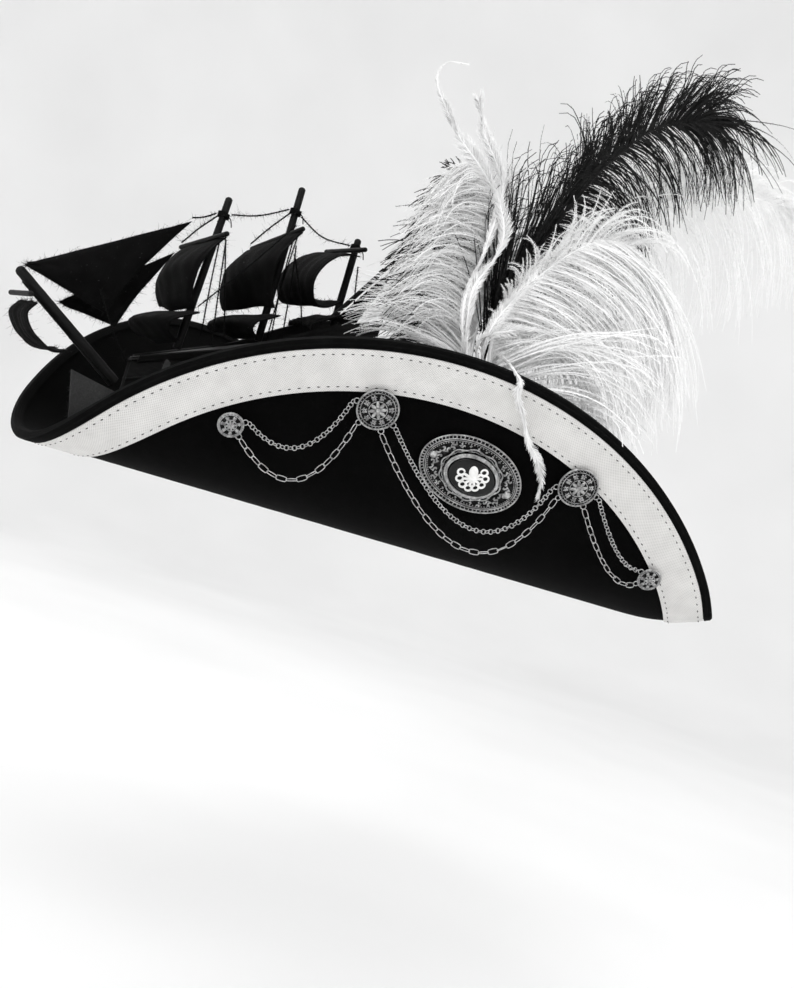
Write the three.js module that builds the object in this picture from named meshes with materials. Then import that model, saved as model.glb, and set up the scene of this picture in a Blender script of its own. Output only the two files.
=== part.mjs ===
// A pirate hat: a felt tricorn with a wired, bound and canvas-trimmed brim, chain swags between
// filigree buttons, an oval cameo brooch, a small black wooden ship and a spray of ostrich plumes.
// Millimetres, +Z up, front towards -Y, the wearer's left towards +X. The origin is the centre of
// the head opening, in the plane that rests on the brow.
import * as THREE from 'three';
import { mergeVertices } from 'three/addons/utils/BufferGeometryUtils.js';

// ---- Driving dimensions --------------------------------------------------------------------

const GAP = 0.3; // clearance between touching pieces
const FELT = 3; // thickness of the felt
const AROUND = 72; // facets round the brim

const OPENING_X = 76; // half width of the head opening, at the outside of the crown
const OPENING_Y = 97; // half length of the head opening, at the outside of the crown
const CROWN_HEIGHT = 88;
const CROWN_FULLNESS = 2.4; // 2 is an ellipsoid, larger is squarer
const SWEATBAND_HEIGHT = 32;
const SWEATBAND = 1.2;
const SWEATBAND_GAP = 1; // crown to sweatband
const LINING = 0.8;

const BRIM_RADIUS = 203.6; // flat brim, before it is turned up
const BRIM_CENTRE_Y = 1.4;
// A fold starts a margin outside the crown. It faces towards that many degrees round from the
// wearer's left, turns the felt up by turn and bends it to radius.
const SIDE_FOLD = { margin: 0.4, towards: -21.9, turn: 66, radius: 42.5 };
const BACK_FOLD = { margin: 0.4, towards: 90, turn: 80.6, radius: 20 };

const WIRE = 1.2; // diameter of the brim wire
const WIRE_GAP = 0.6; // all round the wire
const BINDING = 0.7; // thickness of the edge binding
const BINDING_GAP = 0.45; // felt to the inside of the binding
const BINDING_LEG = 1.4; // how far the binding laps onto the felt
const TRIM_WIDTH = 20.7;
const TRIM = 0.9; // thickness of the canvas
const TRIM_OUTER = BRIM_RADIUS - BINDING_LEG - GAP;
const TRIM_INNER = TRIM_OUTER - TRIM_WIDTH;

const BUTTON_STANDOFF = 2.6; // felt to the back of a button
const BUTTON_THICKNESS = 2.2;
const BIG_BUTTON = 10.4; // radius
const SMALL_BUTTON = 6.4; // radius
const SHANK = 1.5; // radius of a button's shank
// below is from the canvas's inner edge to the button's centre, angle is round the flat brim
const BUTTONS = [
  { name: 'small_button_front', radius: SMALL_BUTTON, below: 8.5, angle: -57.5 },
  { name: 'big_button_front', radius: BIG_BUTTON, below: 7.4, angle: -34.6 },
  { name: 'big_button_rear', radius: BIG_BUTTON, below: 4.4, angle: 1.2 },
  { name: 'small_button_rear', radius: SMALL_BUTTON, below: 2.2, angle: 23 },
];

const FINE_CHAIN = 2.4; // diameter over the links
const LONG_CHAIN = 2.8; // diameter over the links
const CHAIN_END_GAP = 2; // from a button's rim to the first point of its chain
const SAG_DRIFT = 0.25; // how far a swag's low point leans to the rear, per millimetre of sag
// from and to are places round the two buttons, in degrees from the rearward level line
const CHAINS = [
  { name: 'fine_chain_front', span: 0, size: FINE_CHAIN, from: 28, to: 174, sag: 16.3 },
  { name: 'long_chain_front', span: 0, size: LONG_CHAIN, from: -40, to: 234, sag: 21.6 },
  { name: 'fine_chain_middle', span: 1, size: FINE_CHAIN, from: -28, to: 196, sag: 33.2 },
  { name: 'long_chain_middle', span: 1, size: LONG_CHAIN, from: -62, to: 228, sag: 38.5 },
  { name: 'fine_chain_rear', span: 2, size: FINE_CHAIN, from: -10, to: 154, sag: 8.8 },
  { name: 'long_chain_rear', span: 2, size: LONG_CHAIN, from: -52, to: 218, sag: 10.4 },
];

const BROOCH = { below: 28.4, angle: -15.7, tilt: -12, halfLength: 27.5, halfWidth: 18.5 };
const BROOCH_STANDOFF = 1.2;
const BROOCH_PLATE = 2.4;
const CAMEO = { halfLength: 12.5, halfWidth: 9, height: 3.4 }; // a 25 by 18 mm cabochon
const BEZEL = 2; // width of the bezel's rim
const OCTOPUS = 0.9; // height of the relief

const MAST = 2.1; // radius
const YARD = 1.3; // radius
const CLOTH = 0.8; // thickness of a stiffened sail
const TWINE = 1; // diameter
const HULL = { bow: -163, stern: -32, halfBeam: 15, bowDeck: 52, sternDeck: 107, depth: 20 };
const DECK = 1.6; // thickness
// each mast: its foot and its head along the hat, and the height of its head
const MASTS = {
  fore_mast: { foot: -140.5, head: -136.5, top: 149 },
  main_mast: { foot: -97, head: -97.8, top: 170 },
  mizzen_mast: { foot: -55, head: -55.4, top: 157 },
};
const BOWSPRIT = { foot: [0, -168, 39], tip: [0, -230, 77], radius: 3.2, tipRadius: 2.5 };

const QUILL = 1.8; // diameter of a stripped quill

// ---- Solids from points --------------------------------------------------------------------

const point = (x, y, z) => new THREE.Vector3(x, y, z);
const points = (list) => list.map((p) => point(...p));
const radians = THREE.MathUtils.degToRad;
const lerp = THREE.MathUtils.lerp;

// One closed body with shared corners, no flattened triangles and its faces pointing out.
function weld(geometry) {
  geometry.deleteAttribute('normal');
  geometry.deleteAttribute('uv');
  const merged = mergeVertices(geometry, 1e-3);
  const place = merged.getAttribute('position');
  const index = merged.getIndex().array;
  const kept = [];
  let volume = 0;
  const [a, b, c] = [point(), point(), point()];
  for (let i = 0; i < index.length; i += 3) {
    const [p, q, r] = [index[i], index[i + 1], index[i + 2]];
    if (p !== q && q !== r && r !== p) {
      kept.push(p, q, r);
      a.fromBufferAttribute(place, p);
      b.fromBufferAttribute(place, q);
      c.fromBufferAttribute(place, r);
      volume += a.dot(b.cross(c));
    }
  }
  merged.setIndex(volume < 0 ? kept.reverse() : kept);
  merged.computeVertexNormals();
  return merged;
}

function fromFaces(corners, faces) {
  const geometry = new THREE.BufferGeometry().setFromPoints(corners);
  geometry.setIndex(faces);
  return weld(geometry);
}

// A sheet with a front and a back grid of points, closed round its border. A wrapped sheet's rows
// go all the way round, so its last row joins its first.
function slab(front, back, wrap = false) {
  const rows = front.length;
  const columns = front[0].length;
  const behind = rows * columns;
  const at = (i, j) => (i % rows) * columns + j;
  const faces = [];
  const quad = (a, b, c, d) => faces.push(a, b, c, a, c, d);
  const lastRow = wrap ? rows : rows - 1;
  for (let i = 0; i < lastRow; i++) {
    for (let j = 0; j < columns - 1; j++) {
      const [a, b, c, d] = [at(i, j), at(i + 1, j), at(i + 1, j + 1), at(i, j + 1)];
      quad(a, b, c, d);
      faces.push(behind + a, behind + c, behind + b, behind + a, behind + d, behind + c);
    }
    const end = columns - 1;
    quad(at(i + 1, 0), at(i, 0), behind + at(i, 0), behind + at(i + 1, 0));
    quad(at(i, end), at(i + 1, end), behind + at(i + 1, end), behind + at(i, end));
  }
  for (let j = 0; !wrap && j < columns - 1; j++) {
    quad(at(0, j), at(0, j + 1), behind + at(0, j + 1), behind + at(0, j));
    const [e, f] = [at(lastRow, j + 1), at(lastRow, j)];
    quad(e, f, behind + f, behind + e);
  }
  return fromFaces([...front.flat(), ...back.flat()], faces);
}

// A skin over a row of closed sections, joined end to end or closed by a cap at each end.
function loft(sections, closed = false) {
  const sides = sections[0].length;
  const corners = sections.flat();
  const faces = [];
  const last = closed ? sections.length : sections.length - 1;
  for (let i = 0; i < last; i++) {
    for (let j = 0; j < sides; j++) {
      const [a, b] = [i * sides + j, i * sides + ((j + 1) % sides)];
      const [c, d] = [b, a].map((k) => (k + sides) % (sections.length * sides));
      faces.push(a, b, c, a, c, d);
    }
  }
  if (!closed) {
    for (let j = 1; j < sides - 1; j++) {
      const end = (sections.length - 1) * sides;
      faces.push(0, j + 1, j, end, end + j, end + j + 1);
    }
  }
  return fromFaces(corners, faces);
}

function polygon(radius, sides) {
  const shape = new THREE.Shape();
  for (let i = 0; i < sides; i++) {
    const turn = (2 * Math.PI * i) / sides;
    shape[i ? 'lineTo' : 'moveTo'](radius * Math.cos(turn), radius * Math.sin(turn));
  }
  return shape;
}

// A round tube along a curve or through a list of points.
function tube(path, diameter, steps, sides = 8) {
  const curve = Array.isArray(path) ? new THREE.CatmullRomCurve3(points(path)) : path;
  const options = { steps, extrudePath: curve, bevelEnabled: false };
  return weld(new THREE.ExtrudeGeometry(polygon(diameter / 2, sides), options));
}

// A straight tapered spar between two points.
function spar(from, to, radius, endRadius = radius, sides = 10) {
  const [a, b] = [point(...from), point(...to)];
  const geometry = new THREE.CylinderGeometry(endRadius, radius, a.distanceTo(b), sides);
  const along = b.clone().sub(a).normalize();
  geometry.applyQuaternion(new THREE.Quaternion().setFromUnitVectors(point(0, 1, 0), along));
  geometry.translate(...a.add(b).multiplyScalar(0.5));
  return weld(geometry);
}

// A flat piece cut to an outline in the plane along the hat, given as [y, z] corners.
function plate(outline, middleX, thickness) {
  const shape = new THREE.Shape(outline.map(([y, z]) => new THREE.Vector2(y, z)));
  const geometry = new THREE.ExtrudeGeometry(shape, { depth: thickness, bevelEnabled: false });
  geometry.applyMatrix4(new THREE.Matrix4().makeBasis(point(0, 1, 0), point(0, 0, 1), point(1, 0, 0)));
  geometry.translate(middleX - thickness / 2, 0, 0);
  return weld(geometry);
}

// ---- The turned-up brim --------------------------------------------------------------------

const FOLDS = [
  { ...SIDE_FOLD },
  { ...SIDE_FOLD, towards: 180 - SIDE_FOLD.towards },
  { ...BACK_FOLD },
];

// How far the crown's oval reaches in a direction, in radians.
const ovalReach = (heading) =>
  Math.hypot(OPENING_X * Math.cos(heading), OPENING_Y * Math.sin(heading));

// How far a fold carries a point of the flat brim, and how strongly it pulls there.
function foldPull(fold, x, y) {
  const heading = radians(fold.towards);
  const [nx, ny] = [Math.cos(heading), Math.sin(heading)];
  const turn = radians(fold.turn);
  const bend = fold.radius * turn;
  const start = ovalReach(heading) + GAP + fold.margin;
  const s = x * nx + y * ny;
  if (s <= start) {
    return { weight: 1e-6, shift: point(0, 0, 0) };
  }
  const part = Math.min((s - start) / bend, 1);
  const past = Math.max(s - start - bend, 0);
  const out = start + fold.radius * Math.sin(part * turn) + past * Math.cos(turn) - s;
  const up = fold.radius * (1 - Math.cos(part * turn)) + past * Math.sin(turn);
  return { weight: (s - start) ** 2 + 1e-6, shift: point(out * nx, out * ny, up) };
}

// Where a point of the flat brim's outer face lies once the three flaps are turned up. Between
// two folds it is carried by both, in proportion.
function folded(x, y) {
  const pulls = FOLDS.map((fold) => foldPull(fold, x, y));
  const total = pulls.reduce((sum, pull) => sum + pull.weight, 0);
  const place = point(x, y, 0);
  pulls.forEach((pull) => place.addScaledVector(pull.shift, pull.weight / total));
  return place;
}

// The direction out of the felt's outer face, the one seen when the brim is up.
function outward(x, y) {
  const step = 0.5;
  const alongX = folded(x + step, y).sub(folded(x - step, y));
  const alongY = folded(x, y + step).sub(folded(x, y - step));
  return alongY.cross(alongX).normalize();
}

// A point on the brim by its flat radius and angle, out from the outer face by height.
function onBrim(radius, angle, height) {
  const [x, y] = [radius * Math.cos(angle), BRIM_CENTRE_Y + radius * Math.sin(angle)];
  return folded(x, y).addScaledVector(outward(x, y), height);
}

// The place of a piece fixed below the canvas: centre, outward, rearward along the flap, and up it.
function seat(below, degrees, height) {
  const angle = radians(degrees);
  const radius = TRIM_INNER - below;
  const [x, y] = [radius * Math.cos(angle), BRIM_CENTRE_Y + radius * Math.sin(angle)];
  const out = outward(x, y);
  const rear = point(-out.y, out.x, 0).normalize();
  const up = out.clone().cross(rear);
  return { centre: onBrim(radius, angle, height), out, rear, up };
}

// Turns a piece modelled lying flat, facing +Z, to lie on its seat.
function placeOn(geometry, place, tilt = 0) {
  geometry.rotateZ(radians(tilt));
  geometry.applyMatrix4(new THREE.Matrix4().makeBasis(place.rear, place.up, place.out));
  geometry.translate(...place.centre);
  return geometry;
}

const aroundAngles = Array.from({ length: AROUND }, (_, i) => (2 * Math.PI * i) / AROUND);

// The radius of the crown's outer oval, seen from the brim's centre, at an angle.
function openingRadius(angle, spare) {
  const [a, b] = [OPENING_X + spare, OPENING_Y + spare];
  const [c, s] = [Math.cos(angle), Math.sin(angle)];
  const p = (c / a) ** 2 + (s / b) ** 2;
  const q = (BRIM_CENTRE_Y * s) / b ** 2;
  const r = (BRIM_CENTRE_Y / b) ** 2 - 1;
  return (-q + Math.sqrt(q * q - p * r)) / p;
}

const TRIM_STEPS = 2;
const BRIM_STEPS = 7;
const trimStations = Array.from({ length: TRIM_STEPS + 1 }, (_, i) =>
  lerp(TRIM_INNER, TRIM_OUTER, i / TRIM_STEPS));

function brim() {
  const grid = (height) => aroundAngles.map((angle) => {
    const inner = openingRadius(angle, GAP);
    const stations = Array.from({ length: BRIM_STEPS }, (_, i) =>
      lerp(inner, TRIM_INNER, i / BRIM_STEPS));
    const edge = [BRIM_RADIUS - BINDING_LEG, BRIM_RADIUS];
    return [...stations, ...trimStations, ...edge].map((r) => onBrim(r, angle, height));
  });
  return slab(grid(0), grid(-FELT), true);
}

function trimBand() {
  const grid = (height) => aroundAngles.map((angle) =>
    trimStations.map((r) => onBrim(r, angle, height)));
  return slab(grid(GAP), grid(GAP + TRIM), true);
}

// A closed profile carried square to the felt round the brim's edge. Its corners are given as
// [how far past the edge, height out of the outer face].
function brimRing(profile) {
  return loft(aroundAngles.map((angle) => {
    const edge = onBrim(BRIM_RADIUS, angle, 0);
    const across = edge.clone().sub(onBrim(BRIM_RADIUS - BINDING_LEG, angle, 0)).normalize();
    const out = onBrim(BRIM_RADIUS, angle, 1).sub(edge);
    return profile.map(([past, height]) =>
      edge.clone().addScaledVector(across, past).addScaledVector(out, height));
  }), true);
}

function edgeBinding() {
  const leg = -BINDING_LEG;
  const inside = WIRE_GAP + WIRE + WIRE_GAP;
  const [low, high] = [-FELT - BINDING_GAP, BINDING_GAP];
  return brimRing([
    [leg, high], [inside, high], [inside, low], [leg, low],
    [leg, low - BINDING], [inside + BINDING, low - BINDING],
    [inside + BINDING, high + BINDING], [leg, high + BINDING],
  ]);
}

function brimWire() {
  const sides = 5;
  const middle = WIRE_GAP + WIRE / 2;
  return brimRing(Array.from({ length: sides }, (_, i) => {
    const turn = (2 * Math.PI * i) / sides;
    return [middle + (WIRE / 2) * Math.cos(turn), -FELT / 2 + (WIRE / 2) * Math.sin(turn)];
  }));
}

// ---- The crown and what lines it -----------------------------------------------------------

// A ring of points round the dome that is inset from the crown's outer face, at a rise of 0 at
// the brow to 1 at the top.
function domePoint(inset, turn, rise) {
  const power = 2 / CROWN_FULLNESS;
  const reach = Math.cos((rise * Math.PI) / 2) ** power;
  const height = Math.sin((rise * Math.PI) / 2) ** power;
  return point(
    (OPENING_X - inset) * reach * Math.cos(turn),
    (OPENING_Y - inset) * reach * Math.sin(turn),
    (CROWN_HEIGHT - inset) * height,
  );
}

function dome(inset, thickness, startRise, around, steps) {
  const grid = (depth) => Array.from({ length: around }, (_, i) =>
    Array.from({ length: steps + 1 }, (__, j) =>
      domePoint(depth, (2 * Math.PI * i) / around, lerp(startRise, 1, j / steps))));
  return slab(grid(inset), grid(inset + thickness), true);
}

const LINING_RISE = 0.3; // where the lining starts, above the sweatband

function sweatband() {
  const bottom = 0.5;
  const around = 36;
  const full = 1 - (SWEATBAND_HEIGHT / (CROWN_HEIGHT - FELT)) ** CROWN_FULLNESS;
  const edges = [[bottom, 1], [SWEATBAND_HEIGHT, full ** (1 / CROWN_FULLNESS)]];
  const ring = (inset) => Array.from({ length: around }, (_, i) => {
    const turn = (2 * Math.PI * i) / around;
    return edges.map(([z, share]) => point(
      ((OPENING_X - FELT) * share - inset) * Math.cos(turn),
      ((OPENING_Y - FELT) * share - inset) * Math.sin(turn),
      z,
    ));
  });
  return slab(ring(SWEATBAND_GAP), ring(SWEATBAND_GAP + SWEATBAND), true);
}

// ---- Buttons, chains and brooch ------------------------------------------------------------

const buttonSeats = BUTTONS.map((button) => seat(button.below, button.angle, BUTTON_STANDOFF));

// A domed disc with a rolled rim and a short shank behind it.
function button({ radius }, place) {
  const profile = [
    [0, GAP - BUTTON_STANDOFF], [SHANK, GAP - BUTTON_STANDOFF], [SHANK, 0],
    [radius - 0.6, 0], [radius, 0.6], [radius - 0.5, 1.2],
    [radius * 0.6, BUTTON_THICKNESS - 0.3], [0, BUTTON_THICKNESS],
  ].map(([r, h]) => new THREE.Vector2(r, h));
  return placeOn(weld(new THREE.LatheGeometry(profile, 16).rotateX(Math.PI / 2)), place);
}

// The two ends of a chain, each just clear of its button's rim.
function chainEnds({ span, size, from, to }) {
  return [[span, from], [span + 1, to]].map(([which, degrees]) => {
    const place = buttonSeats[which];
    const reach = BUTTONS[which].radius + CHAIN_END_GAP;
    return place.centre.clone()
      .addScaledVector(place.rear, reach * Math.cos(radians(degrees)))
      .addScaledVector(place.up, reach * Math.sin(radians(degrees)))
      .addScaledVector(place.out, size / 2);
  });
}

// A swag that hangs plumb below the line between its ends.
function chain(settings) {
  const [start, end] = chainEnds(settings);
  const across = end.clone().sub(start).setZ(0).normalize();
  const pull = point(across.x * SAG_DRIFT, across.y * SAG_DRIFT, -1);
  const steps = 16;
  const line = Array.from({ length: steps + 1 }, (_, i) => {
    const t = i / steps;
    return start.clone().lerp(end, t).addScaledVector(pull, settings.sag * 4 * t * (1 - t));
  });
  return tube(new THREE.CatmullRomCurve3(line), settings.size, steps);
}

function ellipse(halfLength, halfWidth, corners = 24) {
  return Array.from({ length: corners }, (_, i) => {
    const turn = (2 * Math.PI * i) / corners;
    return new THREE.Vector2(halfLength * Math.cos(turn), halfWidth * Math.sin(turn));
  });
}

const broochSeat = seat(BROOCH.below, BROOCH.angle, BROOCH_STANDOFF);

function raised(shape, low, high) {
  const options = { depth: high - low, bevelEnabled: false };
  return weld(new THREE.ExtrudeGeometry(shape, options).translate(0, 0, low));
}

function broochPlate() {
  const shape = new THREE.Shape(ellipse(BROOCH.halfLength, BROOCH.halfWidth));
  return placeOn(raised(shape, 0, BROOCH_PLATE), broochSeat, BROOCH.tilt);
}

function broochBezel() {
  const hole = ellipse(CAMEO.halfLength + GAP, CAMEO.halfWidth + GAP);
  const rim = BEZEL + GAP;
  const shape = new THREE.Shape(ellipse(CAMEO.halfLength + rim, CAMEO.halfWidth + rim));
  shape.holes.push(new THREE.Path(hole));
  const low = BROOCH_PLATE + GAP;
  return placeOn(raised(shape, low, low + CAMEO.height * 0.6), broochSeat, BROOCH.tilt);
}

// How high the cameo's face stands above its base, at a share of the way out to its edge.
const cameoRise = (share) => CAMEO.height * (0.45 + 0.55 * Math.sqrt(Math.max(1 - share ** 2, 0)));

function cameo() {
  const low = BROOCH_PLATE + GAP;
  const rings = [1, 0.9, 0.7, 0.4];
  const profile = [[0, 0], [1, 0], ...rings.map((r) => [r, cameoRise(r)]), [0, cameoRise(0)]]
    .map(([r, h]) => new THREE.Vector2(r, h));
  const stone = new THREE.LatheGeometry(profile, 24).rotateX(Math.PI / 2);
  stone.scale(CAMEO.halfLength, CAMEO.halfWidth, 1).translate(0, 0, low);
  return placeOn(weld(stone), broochSeat, BROOCH.tilt);
}

// The raised octopus stands on the cameo as one low star with a foot under each arm.
function octopus() {
  const arms = 8;
  const [body, reach] = [0.3, 0.62];
  const low = BROOCH_PLATE + GAP;
  const rim = Array.from({ length: 2 * arms }, (_, i) => {
    const share = i % 2 ? body : reach;
    return { share, turn: (Math.PI * i) / arms };
  });
  const spoke = ({ share, turn }, part, lift) => point(
    CAMEO.halfLength * share * part * Math.cos(turn),
    CAMEO.halfWidth * share * part * Math.sin(turn),
    low + cameoRise(share * part) + GAP + lift,
  );
  const grid = (lift) => rim.map((at) => [0, 0.5, 1].map((part) => spoke(at, part, lift)));
  return placeOn(slab(grid(0), grid(OCTOPUS), true), broochSeat, BROOCH.tilt);
}

// ---- The ship ------------------------------------------------------------------------------

// The ship rests on the front of the crown. Its places are for a crown of this length and height,
// and the whole ship moves with the crown.
const SHIP_CROWN = { openingY: 97, height: 88 };
const shipPlace = point(0, SHIP_CROWN.openingY - OPENING_Y, CROWN_HEIGHT - SHIP_CROWN.height);
// The feathers stand between the crown and the left flap, at places for a crown of this width.
const PLUME_CROWN = { openingX: 76 };
const plumePlace = point(OPENING_X - PLUME_CROWN.openingX, 0, 0);

const deckHeight = (y) =>
  lerp(HULL.bowDeck, HULL.sternDeck, (y - HULL.bow) / (HULL.stern - HULL.bow));

// Half the hull's width, full amidships, narrow at the bow and square at the stern.
const hullHalfWidth = (t) => lerp(0.12, 1, Math.sin(Math.min(t * 1.25, 1) * Math.PI * 0.5)) *
  lerp(1, 0.78, Math.max(t - 0.6, 0) / 0.4) * HULL.halfBeam;

const HULL_SHARES = [0, 0.08, 0.2, 0.4, 0.6, 0.8, 1];

// A carved hull with a rounded bottom, one section at each share of its length.
function hull() {
  const bottom = [[-1, 0], [-0.94, -0.45], [-0.6, -0.85], [0, -1], [0.6, -0.85], [0.94, -0.45], [1, 0]];
  return loft(HULL_SHARES.map((t) => {
    const y = lerp(HULL.bow, HULL.stern, t);
    return bottom.map(([x, z]) =>
      point(x * hullHalfWidth(t), y, deckHeight(y) + z * lerp(HULL.depth, HULL.depth * 0.8, t)));
  }));
}

function deck() {
  const inset = 0.5;
  const grid = (lift) => HULL_SHARES.map((t) => {
    const y = lerp(HULL.bow, HULL.stern, t);
    return [-1, 1].map((x) => point(x * (hullHalfWidth(t) - inset), y, deckHeight(y) + lift));
  });
  return slab(grid(GAP), grid(GAP + DECK));
}

const mastY = ({ foot, head, top }, z) => {
  const low = deckHeight(foot);
  return lerp(foot, head, (z - low) / (top - low));
};

function mast(settings) {
  const low = deckHeight(settings.foot) + DECK + GAP + MAST;
  return spar([0, settings.foot, low], [0, settings.head, settings.top], MAST, MAST * 0.9);
}

// A thin sail with its front face on the grid that place(across, down) gives.
function sail(place, across, down) {
  const grid = Array.from({ length: across + 1 }, (_, i) =>
    Array.from({ length: down + 1 }, (__, j) => place(i / across, j / down)));
  const normal = (i, j) => {
    const at = (a, b) => place(
      THREE.MathUtils.clamp(a / across, 0, 1), THREE.MathUtils.clamp(b / down, 0, 1));
    const alongU = at(i + 0.2, j).sub(at(i - 0.2, j));
    const alongV = at(i, j + 0.2).sub(at(i, j - 0.2));
    return alongU.cross(alongV).normalize();
  };
  const back = grid.map((row, i) => row.map((p, j) =>
    p.clone().addScaledVector(normal(i, j), CLOTH)));
  return slab(grid, back);
}

// A square sail between its four corners, swelling forward by belly.
function squareSail({ headFar, headNear, footFar, footNear, belly }) {
  const [a, b, c, d] = points([headFar, headNear, footFar, footNear]);
  return sail((u, v) => {
    const place = a.clone().lerp(b, u).lerp(c.clone().lerp(d, u), v);
    const swell = Math.sin(Math.PI * v) ** 0.8 * (0.6 + 0.4 * Math.sin(Math.PI * u));
    place.y -= belly * swell;
    return place;
  }, 5, 5);
}

// A sail that has curled up: one curve of [y, z] points, the same all the way across.
function curledSail({ curve, far, near }) {
  const line = new THREE.CatmullRomCurve3(curve.map(([y, z]) => point(0, y, z)));
  return sail((u, v) => line.getPoint(v).setX(lerp(far, near, u)), 2, 10);
}

// A three-cornered sail between its tack, head and clew, hollowed along its leech.
function jib({ tack, head, clew, hollow, bulge }) {
  const [a, b, c] = points([tack, head, clew]);
  return sail((u, v) => {
    const far = b.clone().lerp(c, v);
    far.addScaledVector(a.clone().sub(far).normalize(), hollow * Math.sin(Math.PI * v));
    const place = a.clone().lerp(far, lerp(0.04, 1, u));
    place.x += bulge * Math.sin(Math.PI * v) * Math.sin(Math.PI * u);
    return place;
  }, 5, 5);
}

const SQUARE_SAILS = {
  fore_topsail: {
    headFar: [-30, -143, 116], headNear: [19, -143, 122],
    footFar: [-32, -144, 85], footNear: [13, -144, 86], belly: 10,
  },
  main_topsail: {
    headFar: [-30, -106, 129], headNear: [21, -103, 140],
    footFar: [-30, -107, 97], footNear: [19, -103, 101], belly: 12,
  },
  fore_course: {
    headFar: [-30, -145, 80], headNear: [20, -145, 82],
    footFar: [-29, -150, 66], footNear: [19, -149, 67], belly: 17,
  },
  main_course: {
    headFar: [-30, -104, 92], headNear: [22, -102, 95],
    footFar: [-29, -110, 81.5], footNear: [20, -108, 83], belly: 13,
  },
  mizzen_course: {
    headFar: [-24, -60, 107], headNear: [20, -66, 107],
    footFar: [-24, -68, 101], footNear: [20, -78, 98], belly: 7,
  },
};
const CURLED_SAILS = {
  mizzen_topsail: {
    far: -24, near: 16,
    curve: [[-61, 145.6], [-70, 143], [-80, 133], [-84, 121], [-79, 112], [-70, 113], [-63, 118]],
  },
  spritsail: {
    far: -16, near: 13,
    curve: [[-221, 63.5], [-223.5, 57], [-217, 48], [-207, 44], [-198, 46]],
  },
};
const JIBS = {
  flying_jib: {
    tack: [3.5, -229, 79], head: [3.5, -154, 129], clew: [3.5, -184, 70], hollow: 3, bulge: 3,
  },
  outer_jib: {
    tack: [-3.5, -205, 68], head: [-3.5, -155, 112], clew: [-3.5, -174, 66], hollow: 2, bulge: -2,
  },
};

// Yards lie across the ship just ahead of their masts, with their near ends up. Their ends are
// [across the ship, height].
const MAST_YARDS = {
  fore_yard: { mast: 'fore_mast', far: [-31, 120], near: [22, 127] },
  main_yard: { mast: 'main_mast', far: [-31, 134], near: [22, 145] },
  mizzen_yard: { mast: 'mizzen_mast', far: [-25, 148.2], near: [18, 149.2] },
};
const SPRIT_YARD = { far: [-18, -224.5, 66], near: [15, -224.5, 66] };
// The spanker stands close beside the mizzen mast, on the near side.
const BOOM_X = MAST + 2 * GAP + YARD;
const SPANKER_BOOM = { foot: [BOOM_X, -61, 108], tip: [BOOM_X, -29, 156] };
const SPANKER_X = MAST + GAP + CLOTH / 2;
const SPANKER_OUTLINE = [[-56, 110], [-26, 154], [-35, 131], [-45, 107]];

function mastYard({ mast: name, far, near }) {
  const mastMiddle = mastY(MASTS[name], (far[1] + near[1]) / 2);
  const y = mastMiddle - MAST - YARD - 2 * GAP;
  return spar([far[0], y, far[1]], [near[0], y, near[1]], YARD);
}

const LASHINGS = [
  { mast: 'fore_mast', height: 139 },
  { mast: 'main_mast', height: 156 },
  { mast: 'mizzen_mast', height: 151.5 },
];
const LASHING_HEIGHT = 2.5;

// A few turns of twine, as one sleeve round a mast.
function lashing({ mast: name, height }) {
  const [inner, outer] = [MAST + GAP, MAST + GAP + TWINE];
  const half = LASHING_HEIGHT / 2;
  const profile = [[inner, -half], [outer, -half], [outer, half], [inner, half], [inner, -half]]
    .map(([r, h]) => new THREE.Vector2(r, h));
  const sleeve = new THREE.LatheGeometry(profile, 10).rotateX(Math.PI / 2);
  return weld(sleeve.translate(0, mastY(MASTS[name], height), height));
}

// A point just clear of a mast and its lashing: side is 1 behind the mast and -1 ahead of it.
const atMast = (name, height, side) =>
  [0, mastY(MASTS[name], height) + side * (MAST + 2 * GAP + 1.5 * TWINE), height];

// Each length of twine, by its points from end to end.
const RIGGING = {
  fore_stay: [[0, -153, 131.5], [0, -147, 135], atMast('fore_mast', 138.5, -1)],
  fore_main_stay: [atMast('fore_mast', 141, 1), [0, -118, 147], atMast('main_mast', 156, -1)],
  main_mizzen_stay: [atMast('main_mast', 155, 1), [0, -78, 150.5], atMast('mizzen_mast', 151.5, -1)],
  fore_shroud: [[3, -133, 127], [7, -131, 104], [11, -127.5, 72]],
  main_shroud: [[3, -93, 139], [6, -91, 120], [9, -88, 86.5]],
  main_brace: [[25, -108, 144], [25, -127, 116], [25, -147, 87]],
  jib_sheet: [[7, -191, 80], [8, -177, 61], [5, -166, 50]],
};

const WAVE_FELT = 2; // thickness
const WAVE_GAP = 1; // over the curving brim
// each outline is in [y, height above the brim] corners
const WAVES = {
  bow_wave_large: { middleX: 13, outline: [[-195, 35], [-187, 0], [-166, 0], [-170, 31]] },
  bow_wave_small: { middleX: 22, outline: [[-153, 53], [-162, 0], [-143, 0]] },
};

// How high the turned-up brim stands over a place on the ground.
function brimHeight(x, y) {
  const flat = point(x, y, 0);
  const rounds = 20;
  for (let i = 0; i < rounds; i++) {
    const miss = point(x, y, 0).sub(folded(flat.x, flat.y)).setZ(0);
    flat.add(miss);
  }
  return folded(flat.x, flat.y).z;
}

// Both waves stand on the brim, above its highest point under them.
function wave({ outline, middleX }) {
  const feet = outline.filter(([, rise]) => rise === 0);
  const heights = feet.map(([y]) => brimHeight(middleX + WAVE_FELT / 2, y));
  const base = Math.max(...heights) + FELT + WAVE_GAP;
  return plate(outline.map(([y, rise]) => [y, base + rise]), middleX, WAVE_FELT);
}

// ---- Feathers ------------------------------------------------------------------------------

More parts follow.
